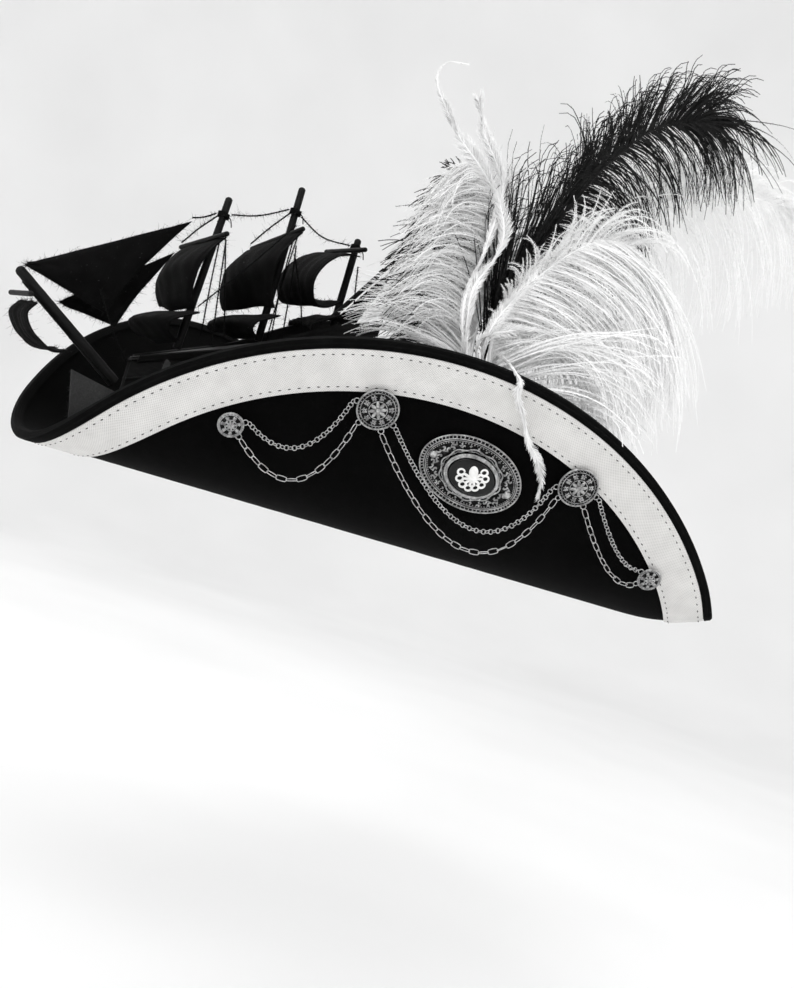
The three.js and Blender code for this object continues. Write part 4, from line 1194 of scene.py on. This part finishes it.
# sails: cut cloth, hemmed, creased and frayed; squares by corners, curls by a line, jibs by three
sails = {
    "fore_topsail": {"kind": "square", "corners": ((-30, -143, 116), (19, -143, 122),
                                                   (-32, -144, 85), (13, -144, 86)), "belly": 10},
    "main_topsail": {"kind": "square", "corners": ((-30, -106, 129), (21, -103, 140),
                                                   (-30, -107, 97), (19, -103, 101)), "belly": 12},
    "fore_course": {"kind": "square", "corners": ((-30, -145, 80), (20, -145, 82),
                                                  (-29, -150, 66), (19, -149, 67)), "belly": 17},
    "main_course": {"kind": "square", "corners": ((-30, -104, 92), (22, -102, 95),
                                                  (-29, -110, 81.5), (20, -108, 83)), "belly": 13},
    "mizzen_course": {"kind": "square", "corners": ((-24, -60, 107), (20, -66, 107),
                                                    (-24, -68, 101), (20, -78, 98)), "belly": 7},
    "mizzen_topsail": {"kind": "curl", "far": -24, "near": 16,
                       "line": ((-61, 145.6), (-70, 143), (-80, 133), (-84, 121), (-79, 112),
                                (-70, 113), (-63, 118))},
    "spritsail": {"kind": "curl", "far": -16, "near": 13,
                  "line": ((-221, 63.5), (-223.5, 57), (-217, 48), (-207, 44), (-198, 46))},
    "flying_jib": {"kind": "jib", "corners": ((3.5, -229, 79), (3.5, -154, 129), (3.5, -184, 70)),
                   "hollow": 3, "bulge": 3},
    "outer_jib": {"kind": "jib", "corners": ((-3.5, -205, 68), (-3.5, -155, 112),
                                             (-3.5, -174, 66)), "hollow": 2, "bulge": -2},
    "spanker": {"kind": "quad", "corners": ((2.75, -56, 110), (2.75, -26, 154), (2.75, -45, 107),
                                            (2.75, -35, 131))}}
# flat sizes are at least so many mm, and a triangle's rectangle is so much wider than half of it
sailCut = {"steps": 44, "seed": 7, "fray": 5, "least": 10, "leastCut": 10.5, "room": 1.9}


def sailSpot(its):
    if its["kind"] == "curl":
        def spot(u, v):
            line = curveThrough([(0, y, z) for y, z in its["line"]], v)
            line[..., 0] = its["far"] + (its["near"] - its["far"]) * u
            return line
        return spot
    corners = [np.array(c, float) for c in its["corners"]]
    if its["kind"] == "jib":
        def spot(u, v):
            a, b, c = corners
            far = b + (c - b) * v[:, None]
            far = far + unit(a - far) * (its["hollow"] * np.sin(math.pi * v))[:, None]
            place = a + (far - a) * (0.04 + 0.96 * u)[:, None]
            place[:, 0] += its["bulge"] * np.sin(math.pi * v) * np.sin(math.pi * u)
            return place
        return spot

    def spot(u, v):
        a, b, c, d = corners
        place = (a + (b - a) * u[:, None]) * (1 - v)[:, None] + (c + (d - c) * u[:, None]) * \
            v[:, None]
        if its["kind"] == "square":
            swell = np.sin(math.pi * v) ** 0.8 * (0.6 + 0.4 * np.sin(math.pi * u))
            place[:, 1] -= its["belly"] * swell
            place += np.array([0, 1.6, 3.6]) * ((1 - v) ** 7)[:, None]  # the head laps its yard
        return place
    return spot


def sailSize(its, spot):  # along the yard and down the cloth, measured over its curve
    one = np.linspace(0, 1, 40)
    head, middle, far = one * 0, one * 0 + 0.5, one * 0 + 1

    def span(u, v):
        return np.linalg.norm(np.diff(spot(u, v), axis=0), axis=1).sum()
    if its["kind"] == "jib":
        return span(one, middle), span(far, one)
    return (span(one, head) + span(one, far)) / 2, span(middle, one)


def cutSize(its, spot, wide, tall):  # the flat cloth, and its area where it is no rectangle
    least = sailCut["least"]
    if its["kind"] in ("square", "curl"):
        return (max(wide, least), max(tall, least)), None
    dense = np.linspace(0, 1, 30)
    u, v = (g.ravel() for g in np.meshgrid(dense, dense, indexing="ij"))
    grid = spot(u, v).reshape(30, 30, 3)
    d1, d2 = grid[1:, :-1] - grid[:-1, :-1], grid[:-1, 1:] - grid[:-1, :-1]
    area = np.linalg.norm(np.cross(d1, d2), axis=-1).sum()
    luff = np.linalg.norm(np.subtract(its["corners"][1], its["corners"][0]))
    flat = (luff, max(area * sailCut["room"] / luff, sailCut["leastCut"]))
    return flat, min(area, flat[0] * flat[1])


def makeSails():
    chance = random.Random(sailCut["seed"])
    roots, ways, lengths = [], [], []
    for name, its in sails.items():
        spot = sailSpot(its)
        wide, tall = sailSize(its, spot)
        phase = chance.uniform(0, 6)

        def creased(u, v, lift=0.0):
            here = spot(u, v)
            e = 0.01
            du = spot(np.clip(u + e, 0, 1), v) - spot(np.clip(u - e, 0, 1), v)
            dv = spot(u, np.clip(v + e, 0, 1)) - spot(u, np.clip(v - e, 0, 1))
            normal = unit(np.cross(du, dv))
            edge = np.minimum(np.minimum(u, 1 - u) * wide, np.minimum(v, 1 - v) * tall)
            hem = 0.42 * (1 - np.clip((edge - 2.2) / 0.8, 0, 1))
            crease = 0.5 * np.sin(u * 9 + v * 5 + phase) * np.sin(v * 7 - u * 3 + phase) + \
                0.22 * np.sin(u * 31 + phase * 2 + 3 * np.sin(v * 6)) * np.sin(math.pi * v)
            flap = 1.4 * np.sin(math.pi * u * 1.7 + phase) * v ** 3 if its["kind"] == "square" else 0
            return here + normal * (hem + crease + flap + lift)[:, None]
        piece = mappedGrid(pieceName(name, "Cloth"), sailCut["steps"], sailCut["steps"], creased,
                           (wide, tall))
        modify(piece, "SOLIDIFY", thickness=ship["cloth"] * mm, offset=0)
        if its["kind"] == "jib":
            outside(piece, 0.00002)
        dress(smooth(outside(piece), 60), sailCloth, replaces=[name])
        flat, area = cutSize(its, spot, wide, tall)
        for _ in range(int((wide + tall) * sailCut["fray"])):
            t = chance.random()
            side = chance.randrange(4)
            u, v = ((t, 0), (t, 1), (0, t), (1, t))[side]
            inward = ((t, 0.04), (t, 0.96), (0.04, t), (0.96, t))[side]
            here = creased(np.array([u]), np.array([v]))[0]
            way = unit(here - creased(np.array([inward[0]]), np.array([inward[1]]))[0])
            jitter = np.array([chance.gauss(0, 0.55) for _ in range(3)])
            roots.append(here)
            ways.append(unit(way + jitter))
            lengths.append(chance.uniform(0.5, 2.6) * (1.6 if chance.random() < 0.08 else 1))
    dress(hairs("sailFray", roots, ways, lengths, 0.2, chance), blackLint)


def hairs(name, roots, ways, lengths, width, chance, steps=4):  # short stray fibres
    roots, ways = np.array(roots), np.array(ways)
    lengths = np.array(lengths)[:, None]
    curl = np.array([[chance.gauss(0, 0.5) for _ in range(3)] for _ in range(len(roots))])
    t = np.linspace(0, 1, steps)
    paths = roots[:, None] + (ways * lengths)[:, None] * t[None, :, None] + \
        (curl * lengths)[:, None] * (t ** 2)[None, :, None]
    side = unit(np.cross(ways, curl + 0.01))[:, None].repeat(steps, 1)
    widths = np.broadcast_to(width * (1 - 0.8 * t), (len(roots), steps))
    return ribbons(name, paths, side, widths)


rigging = {"lashings": {"fore_mast": 139.0, "main_mast": 156.0, "mizzen_mast": 151.5},
           "turns": 4, "ply": 0.26, "plyOff": 0.24, "lay": 3.2, "sag": 0.8, "wrap": 0.45}


def atMast(name, height, side):
    return (0, mastY(name, height) + side * (ship["mast"] + 0.6 + 1.5), height)


def makeRigging():
    chance = random.Random(11)
    lines = {
        "fore_stay": [(0, -153, 131.5), (0, -147, 135), atMast("fore_mast", 138.5, -1)],
        "fore_main_stay": [atMast("fore_mast", 141, 1), (0, -118, 147),
                           atMast("main_mast", 156, -1)],
        "main_mizzen_stay": [atMast("main_mast", 155, 1), (0, -78, 150.5),
                             atMast("mizzen_mast", 151.5, -1)],
        "fore_shroud": [(3, -133, 127), (7, -131, 104), (11, -127.5, 72)],
        "main_shroud": [(3, -93, 139), (6, -91, 120), (9, -88, 86.5)],
        "main_brace": [(25, -108, 144), (25, -127, 116), (25, -147, 87)],
        "jib_sheet": [(7, -191, 80), (8, -177, 61), (5, -166, 50)],
        "secondShroud": [(3.4, -92.5, 134), (9, -84, 112), (12, -78, 91)],
        "foreBackstay": [(2.6, -134, 130), (5, -128, 108), (9, -121, 79)],
        "foreInnerShroud": [(-2.4, -134, 128), (-6, -130, 104), (-10, -125, 77)],
        "mainInnerShroud": [(-2.4, -93, 142), (-6, -90, 118), (-10, -85, 90)],
        "mainBackstay": [(2.4, -93.5, 146), (6, -96, 120), (11, -98, 84)],
        "mizzenShroud": [(2.4, -52, 142), (5, -50, 126), (8, -46, 103)],
        "foreLift": [(1.5, -141, 137), (-14, -142, 131), (-29, -142.5, 122.5)],
        "mainLift": [(1.5, -101.5, 154), (-14, -103, 146), (-29, -103.5, 136.5)],
        "bobstay": [(3.5, -227, 71), (5.5, -200, 55), (5, -171, 38)]}
    roots, ways, lengths = [], [], []
    for name, points in lines.items():
        count = 60
        t = np.linspace(0, 1, count)
        path = curveThrough(points, t)
        long = np.linalg.norm(np.diff(path, axis=0), axis=1).sum()
        path[:, 2] -= rigging["sag"] * np.sin(math.pi * t)
        tangent = unit(np.gradient(path, axis=0))
        side = unit(np.cross(tangent, [1, 0.3, 0.2]))
        other = np.cross(tangent, side)
        plies = []
        for ply in range(2):
            turn = 2 * math.pi * t * long / rigging["lay"] + ply * math.pi
            around = side * np.cos(turn)[:, None] + other * np.sin(turn)[:, None]
            plies.append(wireAlong("ply", (path + rigging["plyOff"] * around).tolist(),
                                   rigging["ply"]))
        dress(join(pieceName(name, "Twine"), plies), blackTwine,
              replaces=[name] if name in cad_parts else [])
        for _ in range(int(long * 4)):
            k = chance.randrange(count)
            roots.append(path[k])
            ways.append(unit(np.array([chance.gauss(0, 1) for _ in range(3)])))
            lengths.append(chance.uniform(0.8, 3.2))
    for name, height in rigging["lashings"].items():
        y = mastY(name, height)
        r, turns = ship["mast"] + 0.3 + 0.45, rigging["turns"]
        coil = []
        for k in range(turns * 14 + 1):
            a = 2 * math.pi * k / 14
            coil.append((r * math.cos(a), y + r * math.sin(a),
                         height - 1.4 + 2.8 * k / (turns * 14)))
        parts = [wireAlong("turns", coil, 0.45)]
        knot = [(2.6, y - 1.5, height - 1), (3.8, y - 0.5, height + 0.8), (2.7, y + 0.6, height + 0.6),
                (3.4, y - 0.9, height - 0.8), (3.9, y + 0.3, height - 0.2), (2.7, y + 0.2, height)]
        parts.append(wireAlong("knot", curveThrough(knot, np.linspace(0, 1, 30)).tolist(), 0.45))
        for lean in (-1, 1):
            tail = [(3.2, y, height), (4.4, y + lean * 2.4, height - 1.6),
                    (4.2, y + lean * 4.2, height - 5.2)]
            parts.append(wireAlong("tail", curveThrough(tail, np.linspace(0, 1, 12)).tolist(), 0.3))
        for _ in range(26):
            a = chance.uniform(0, 6.28)
            roots.append(np.array([r * math.cos(a), y + r * math.sin(a),
                                   height + chance.uniform(-1.5, 1.5)]))
            ways.append(unit(np.array([math.cos(a), math.sin(a), chance.gauss(0, 0.6)])))
            lengths.append(chance.uniform(1.0, 3.4))
        dress(join(name.split("_")[0] + "Lashing", parts), blackTwine,
              replaces=[name + "_lashing"])
    dress(hairs("twineFuzz", roots, ways, lengths, 0.2, chance), blackLint)


# two cut triangles of thick felt stand at the bow like a bow wave
waves = {"bow_wave_large": {"x": 13, "foot": (-187, -166), "top": ((-195, 38), (-170, 34)),
                            "cutShare": 0.62},
         "bow_wave_small": {"x": 22, "foot": (-162, -143), "top": ((-153, 57), (-152, 56)),
                            "cutShare": 0.52}}
waveFelt = {"thickness": 1.8, "seed": 3, "fuzz": 500}


def makeWaves():
    chance = random.Random(waveFelt["seed"])
    roots, ways, lengths = [], [], []
    for name, its in waves.items():
        low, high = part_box(name)
        bottom = low.z / mm

        def spot(u, v):
            foot = its["foot"][0] + (its["foot"][1] - its["foot"][0]) * u
            topY, topZ = (a + (b - a) * u for a, b in zip(*its["top"]))
            x = its["x"] + 0.7 * np.sin(u * 5) * np.sin(v * 4)
            return np.stack([x, foot + (topY - foot) * v, bottom + (topZ - bottom) * v], -1)
        piece = mappedGrid("waveFelt" + name.split("_")[2].capitalize(), 24, 40, spot, (20, 40))
        modify(piece, "SOLIDIFY", thickness=waveFelt["thickness"] * mm, offset=0)
        dress(smooth(outside(piece), 50), greyFelt, replaces=[name])
        for _ in range(waveFelt["fuzz"]):
            u, v = chance.choice([(0, chance.random()), (1, chance.random()),
                                  (chance.random(), chance.random())])
            roots.append(spot(np.array([float(u)]), np.array([v]))[0]
                         + np.array([chance.choice([-1, 1]) * 0.9, 0, 0]))
            ways.append(unit(np.array([chance.gauss(0, 1), chance.gauss(0, 1) + (u - 0.5),
                                       chance.gauss(0, 1)])))
            lengths.append(chance.uniform(0.5, 2.0))
    dress(hairs("waveFuzz", roots, ways, lengths, 0.14, chance), greyFelt)


makeHull()
makeSpars()
makeSails()
makeRigging()
makeWaves()
print("ship made")


# ostrich plumes: barbs leave a curved shaft on both sides and droop, each fringed with barbules;
# a set's numbers are given from the base of the shaft to its tip
plumes = {
    "white_plume_front": {
        "colour": "white", "seed": 21, "barbule": 2.2, "width": 0.62, "spacing": 0.8,
        "shaft": [(112, -34, 68), (104, -34, 99), (100, -33, 111), (94, -29, 134), (91, -28, 158),
                  (90, -31, 175), (89, -38, 188), (89, -47, 195), (89, -58, 196)],
        "sets": [
            {"count": 300, "side": -1, "from": 0.24, "to": 0.99, "length": (50, 58, 54, 28),
             "angle": (62, 76, 66, 30), "droop": 0.85, "spread": 0.14, "lean": -0.1},
            {"count": 110, "side": 1, "from": 0.35, "to": 0.99, "length": (16, 24, 26, 16),
             "angle": (40, 45, 45, 30), "droop": 0.5, "spread": 0.2},
            {"count": 130, "side": -1, "from": 0.14, "to": 0.26, "length": (56, 66, 66, 54),
             "angle": (72, 60, 50, 44), "droop": 0.5, "spread": 0.1, "lean": -0.42},
            {"count": 18, "side": -1, "from": 0.14, "to": 0.4, "length": (52, 64, 70, 66),
             "angle": (52, 40, 30, 24), "droop": 0.9, "spread": 0.08, "lean": -0.2,
             "width": 1.1}]},
    "black_plume": {
        "colour": "black", "seed": 5, "barbule": 1.7, "width": 0.85, "spacing": 0.85,
        "shaft": [(118, -24, 68), (114, -34, 100), (110, -31, 112), (105, -27, 137),
                  (103, -18, 158), (101, -5, 181), (99, 6, 201), (96, 17, 220), (93, 31, 237),
                  (90, 47, 255), (87, 72, 273), (85, 96, 283)],
        "sets": [
            {"count": 420, "side": -1, "from": 0.1, "to": 0.97,
             "length": (84, 78, 54, 42, 42, 48), "angle": (10, 14, 20, 30, 36, 36),
             "droop": 0.12, "spread": 0.12, "hook": 0.9},
            {"count": 300, "side": 1, "from": 0.16, "to": 0.97, "length": (30, 56, 60, 56, 58),
             "angle": (34, 48, 50, 44, 26), "droop": 0.9, "spread": 0.14},
            {"count": 70, "side": -1, "from": 0.88, "to": 1.0, "length": (52, 62, 66, 70),
             "angle": (32, 26, 14, 2), "droop": 0.75, "spread": 0.06},
            {"count": 60, "side": 1, "from": 0.88, "to": 1.0, "length": (52, 60, 66, 70),
             "angle": (28, 20, 12, 0), "droop": 0.9, "spread": 0.06}]},
    "black_under": {
        # a black feather set just behind the white front plume: partly black barbs that show through
        # there, partly painted shade that darkens the gaps between the white barbs
        "colour": "black", "seed": 17, "barbule": 1.7, "width": 0.85, "spacing": 1.0,
        "shaft": [(98, -30, 70), (90, -32, 100), (82, -31, 128), (76, -32, 156), (74, -38, 174),
                  (73, -46, 185), (73, -55, 189)],
        "sets": [
            {"count": 230, "side": -1, "from": 0.12, "to": 0.99, "length": (44, 50, 50, 40, 14),
             "angle": (70, 76, 74, 66, 24), "droop": 0.75, "spread": 0.1, "lean": -0.1},
            {"count": 110, "side": 1, "from": 0.2, "to": 0.99, "length": (20, 26, 26, 12),
             "angle": (40, 44, 40, 20), "droop": 0.6, "spread": 0.1}]},
    "white_plume_side": {
        "colour": "white", "seed": 9, "barbule": 2.4, "width": 0.62, "spacing": 0.95,
        "shaft": [(124, -22, 68), (122, -37, 100), (121, -38, 113), (119, -30, 133),
                  (119, -21, 148), (120, -11, 161), (121, 0, 172), (122, 14, 181),
                  (123, 32, 184)],
        "sets": [
            {"count": 350, "side": 1, "from": 0.14, "to": 0.99, "length": (78, 100, 108, 88),
             "angle": (60, 58, 48, 28), "droop": 1.35, "spread": 0.12, "lean": 0.3},
            {"count": 90, "side": -1, "from": 0.3, "to": 0.99, "length": (12, 26, 34, 40),
             "angle": (30, 34, 36, 26), "droop": 0.9, "spread": 0.14},
            {"count": 70, "side": 1, "from": 0.02, "to": 0.16, "length": (76, 84, 94, 90),
             "angle": (92, 84, 70, 58), "droop": 0.7, "spread": 0.12, "lean": 0.44, "width": 0.95}]},
    "white_plume_rear": {
        "colour": "white", "seed": 14, "barbule": 2.6, "width": 0.55, "spacing": 1.05,
        "shaft": [(108, -4, 68), (106, -18, 100), (98, -11, 124), (84, 15, 154), (76, 49, 195),
                  (68, 92, 233), (60, 144, 262), (53, 200, 276), (48, 246, 274)],
        "sets": [
            {"count": 330, "side": 1, "from": 0.16, "to": 0.99, "length": (56, 78, 88, 52),
             "angle": (44, 54, 52, 20), "droop": 1.1, "spread": 0.16},
            {"count": 260, "side": -1, "from": 0.2, "to": 0.99, "length": (36, 48, 52, 36),
             "angle": (36, 40, 40, 16), "droop": 0.8, "spread": 0.16}]},
}
barb = {"steps": 12, "outermost": 168, "offFelt": 4.6, "sway": 0.1, "barbuleWidth": 0.24,
        "most": 84000, "shaft": 1.0}


def byShare(values, t):
    return np.interp(t, np.linspace(0, 1, len(values)), values)


def barbPaths(its, one, chance):
    count, steps = one["count"], barb["steps"]
    share = np.linspace(0, 1, count) + chance.normal(0, 0.35 / count, count)
    t = np.clip(one["from"] + (one["to"] - one["from"]) * share, 0, 1)
    shaft = curveThrough(its["shaft"], t)
    tangent = unit(curveThrough(its["shaft"], t + 0.01) - curveThrough(its["shaft"], t - 0.01))
    flat = np.array([1.0, 0, 0])
    side = unit(np.cross(tangent, flat)) * one["side"]
    clump = np.sin(np.arange(count) * 0.55 + its["seed"]) * 3.2 + chance.normal(0, 3.2, count)
    angle = np.radians(byShare(one["angle"], share) + clump)
    length = byShare(one["length"], share) * (1 + chance.normal(0, 0.07, count))
    lean = one.get("lean", 0) + chance.normal(0, one["spread"], count)
    lean = lean + barb["sway"] * np.sin(np.arange(count) * 0.21)
    way = unit(tangent * np.cos(angle)[:, None] + side * np.sin(angle)[:, None]
               + flat * lean[:, None])
    paths = [shaft]
    step = (length / (steps - 1))[:, None]
    wander = chance.normal(0, 0.03, (count, 3))
    for k in range(1, steps):
        paths.append(paths[-1] + way * step)
        s = k / steps
        pull = np.array([0, 0, -1.0]) * one["droop"] * 0.16 * (0.4 + 1.6 * s)
        pull = pull * (0.7 + 0.6 * chance.random((count, 1)))
        if "hook" in one and s > 0.72:  # tips that turn over sharply
            pull = pull + np.array([0, 0.34, -0.42]) * one["hook"]
        way = unit(way + pull + wander * (0.5 + s))
    paths = np.stack(paths, 1)
    paths[..., 0] -= 0.7 * np.maximum(paths[..., 0] - barb["outermost"], 0)
    return paths


def clearOfFelt(paths):  # a barb that would run through the flap is left out
    radius, angle = np.meshgrid(np.arange(150, 207, 2.5), np.radians(np.arange(-60, 75, 1.2)))
    felt = onBrim(radius.ravel(), angle.ravel(), 1.5)
    middles = (paths[:, 3:] + paths[:, 2:-1]) / 2
    spots = np.concatenate([paths[:, 3:], middles], 1)
    near = [np.linalg.norm(spots[:, k, None] - felt, axis=-1).min(1)
            for k in range(spots.shape[1])]
    return np.min(near, 0) > barb["offFelt"]


def barbules(paths, size, spacing, chance):
    n, k, _ = paths.shape
    total = np.linalg.norm(np.diff(paths, axis=1), axis=2).sum(1)
    per = int(min(total.mean() / spacing, barb["most"] / 2 / n))
    roots, ways = [], []
    for side in (-1, 1):
        at = (np.arange(per)[None] + chance.random((n, per))) / per * (k - 1)
        low = np.minimum(at.astype(int), k - 2)
        rows = np.arange(n)[:, None]
        a, b = paths[rows, low], paths[rows, low + 1]
        here = a + (b - a) * (at - low)[..., None]
        along = unit(b - a)
        across = unit(np.cross(along, np.array([1.0, 0.1, 0.05]))) * side
        way = along * 0.85 + across * 0.75 + chance.normal(0, 0.34, (n, per, 3))
        shrink = np.minimum(1, 1.25 - at / (k - 1))[..., None]
        roots.append(here.reshape(-1, 3))
        ways.append((unit(way) * size * shrink * (0.6 + 0.7 * chance.random((n, per, 1)))
                     ).reshape(-1, 3))
    roots, ways = np.concatenate(roots), np.concatenate(ways)
    return np.stack([roots, roots + ways], 1)


def makePlume(name, its):
    chance = np.random.default_rng(its["seed"])
    sets = [barbPaths(its, one, chance) for one in its["sets"]]
    widest = np.concatenate([np.full(one["count"], one.get("width", its["width"]))
                             for one in its["sets"]])
    paths = np.concatenate(sets)
    keep = clearOfFelt(paths)
    paths, widest = paths[keep], widest[keep]
    n, k, _ = paths.shape
    turned = unit(np.cross(unit(np.gradient(paths, axis=1)),
                           np.array([1.0, 0, 0]) + chance.normal(0, 0.4, (n, 1, 3))))
    wide = widest[:, None] * (1 - 0.6 * np.linspace(0, 1, k))
    parts = [ribbons("barbs", paths, turned, wide)]
    small = barbules(paths, its["barbule"], its["spacing"], chance)
    m = len(small)
    sides = unit(np.cross(small[:, -1] - small[:, 0], chance.normal(0, 1, (m, 3))))
    fine = np.broadcast_to(barb["barbuleWidth"] * np.array([1, 0.3]), (m, 2))
    parts.append(ribbons("barbules", small, sides[:, None].repeat(2, 1), fine))
    line = curveThrough(its["shaft"], np.linspace(0, 1, 60))
    parts.append(wireAlong("shaft", line.tolist(), barb["shaft"], sides=2,
                           taper=lambda t: 1.05 - 0.85 * t))
    label = its["colour"] + "Feather" + name.split("_")[-1].capitalize()
    black = its["colour"] == "black"
    dress(join(label, parts), blackPlume if black else whitePlume,
          replaces=[name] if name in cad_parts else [])
    print(label, n, "barbs and", m, "barbules")


# stripped quills: a shaft wound with a narrow fringe of short slanting barbs
quills = {
    "tall_quill": {"path": [(127, -48, 78), (130, -62, 112), (131, -65, 128), (132, -58, 147),
                            (132, -58, 157), (132, -68, 171), (132, -82, 180), (132, -97, 187),
                            (132, -106, 194), (132, -118, 206), (132, -116, 214),
                            (132, -104, 219)],
                   "fringe": (5.5, 4.5, 4.0, 6.5, 6.0, 1.2, 0.6), "seed": 31},
    "short_quill": {"path": [(126, -38, 78), (128, -47, 108), (130, -41, 129), (130, -30, 146)],
                    "fringe": (3.0, 4.0, 4.5, 3.5), "seed": 32},
    "level_quill": {"path": [(125, -40, 84), (127, -50, 107), (127, -36, 116), (127, -16, 123),
                       (127, 9, 132), (127, 32, 143)], "fringe": (2, 4, 4.5, 5, 6, 5), "seed": 33},
    "curled_quill": {"path": [(127, -46, 80), (129, -66, 118), (130, -64, 150), (130, -66, 178),
                        (130, -84, 196), (130, -92, 208)], "fringe": (2, 2, 3, 5, 4), "seed": 35}}
# the hanging strip leaves the bunch, then lies on the flap: radius, degrees and height off the felt
strip = {"root": [(124, -38, 92), (134, -41, 102)],
         "path": [(206, -16.5, 3), (205, -16.5, 7), (200, -16, 5.5), (190, -13.3, 4.5),
                  (182, -10.8, 4.5), (176, -7.6, 4.2), (168, -4.6, 3.8), (161, -3.0, 3.4)],
         "fringe": (2.5, 2.5, 2.5, 3.5, 3.5, 3.5, 3.0), "seed": 34}


quill = {"shaft": 0.8, "perMm": 16, "barb": 0.42, "wind": 26}


def makeQuill(label, path, fringe, seed, replaces=()):
    chance = np.random.default_rng(seed)
    t = np.linspace(0, 1, 80)
    line = curveThrough(path, t)
    long = np.linalg.norm(np.diff(line, axis=0), axis=1).sum()
    tangent = unit(np.gradient(line, axis=0))
    n = int(long * quill["perMm"])
    at = np.sort(chance.random(n))
    here = np.stack([np.interp(at, t, line[:, i]) for i in range(3)], -1)
    along = unit(np.stack([np.interp(at, t, tangent[:, i]) for i in range(3)], -1))
    flat = unit(np.cross(along, [0.81, -0.58, -0.02]))
    other = np.cross(along, flat)
    wind = 2 * math.pi * at * long / quill["wind"]
    side = np.where(chance.random(n) < 0.5, -1, 1)[:, None]
    across = flat * np.cos(wind * 0.35)[:, None] + other * np.sin(wind * 0.35)[:, None]
    way = unit(along * 0.8 + across * side * 0.7 + chance.normal(0, 0.16, (n, 3)))
    length = byShare(fringe, at) * (0.7 + 0.5 * chance.random(n))
    steps = np.linspace(0, 1, 4)[None, :, None]
    paths = here[:, None] + way[:, None] * length[:, None, None] * steps + \
        along[:, None] * (length * 0.35)[:, None, None] * steps ** 2
    sides = unit(np.cross(way, chance.normal(0, 1, (n, 3))))[:, None].repeat(4, 1)
    wide = np.broadcast_to(quill["barb"] * np.array([1, 0.9, 0.7, 0.2]), (n, 4))
    parts = [ribbons("fringe", paths, sides, wide),
             wireAlong("shaft", line.tolist(), quill["shaft"], sides=2,
                       taper=lambda s: 1 - 0.7 * s)]
    dress(join(label, parts), whitePlume, replaces=replaces)


for name, its in plumes.items():
    makePlume(name, its)
for name, its in quills.items():
    makeQuill(pieceName(name, "Strip"), its["path"], its["fringe"], its["seed"],
              [name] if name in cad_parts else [])
onFlap = [tuple(onBrim(r, math.radians(a), h)) for r, a, h in strip["path"]]
makeQuill("hangingQuillStrip", strip["root"] + onFlap, strip["fringe"], strip["seed"])
print("feathers made")


# a pale floor that curls up all round, and soft light from above and from the camera's side
studio = {"floor": -0.26, "reach": 2.2, "wall": 1.4, "curl": 0.8, "air": 0.93,
          "softboxes": [((0.9, -1.1, 1.5), (0, 0, 0.05), 1.2, 15),  # place, aim, size, watts
                        ((1.3, 0.9, 0.9), (0, 0, 0.1), 1.0, 6),
                        ((-1.2, -0.4, 1.4), (0, 0, 0.1), 1.2, 8)]}


def makeStudio():
    clear()
    floor, reach, curl = studio["floor"], studio["reach"], studio["curl"]
    bpy.ops.mesh.primitive_circle_add(vertices=96, radius=reach, fill_type="NGON",
                                      location=(0, 0, floor))
    piece = named("studioFloor")
    editAll(piece)
    bpy.context.tool_settings.mesh_select_mode = (False, True, False)
    bpy.ops.mesh.inset(thickness=0.05)
    bpy.ops.mesh.select_all(action="SELECT")
    bpy.ops.mesh.region_to_loop()
    steps = 10
    for k in range(steps):
        a, b = (math.pi / 2 * i / steps for i in (k, k + 1))
        grow = curl * (math.sin(b) - math.sin(a))
        now = reach + curl * math.sin(a)
        bpy.ops.mesh.extrude_region_move()
        bpy.ops.transform.resize(value=((now + grow) / now,) * 2 + (1,), center_override=(0, 0, 0))
        bpy.ops.transform.translate(value=(0, 0, curl * (math.cos(a) - math.cos(b))))
    bpy.ops.mesh.extrude_region_move()
    bpy.ops.transform.translate(value=(0, 0, studio["wall"]))
    bpy.ops.object.mode_set(mode="OBJECT")
    smooth(piece)
    material, tree, shader, where = newMaterial("paleStudioPaper", Roughness=0.9)
    grain = addNode(tree, "TexNoise", {"Vector": where, "Scale": perMetre(400), "Detail": 2})
    addNode(tree, "ValToRGB", {"Fac": grain.outputs["Fac"]},
            [(0.3, "#eeeeee"), (0.7, "#f5f5f5")], shader["Base Color"])
    piece.data.materials.append(material)
    world = bpy.data.worlds.new("studioAir")
    bpy.context.scene.world = world
    world.use_nodes = True
    back = world.node_tree.nodes["Background"]
    back.inputs["Color"].default_value = linear("#f8f8f8")
    back.inputs["Strength"].default_value = studio["air"]
    for spot, aim, size, power in studio["softboxes"]:
        data = bpy.data.lights.new("softbox", "AREA")
        data.size, data.energy = size, power
        light = bpy.data.objects.new("softbox", data)
        light.location = spot
        light.rotation_euler = (Vector(aim) - Vector(spot)).to_track_quat("-Z", "Y").to_euler()
        bpy.context.scene.collection.objects.link(light)


makeStudio()
print("studio ready")
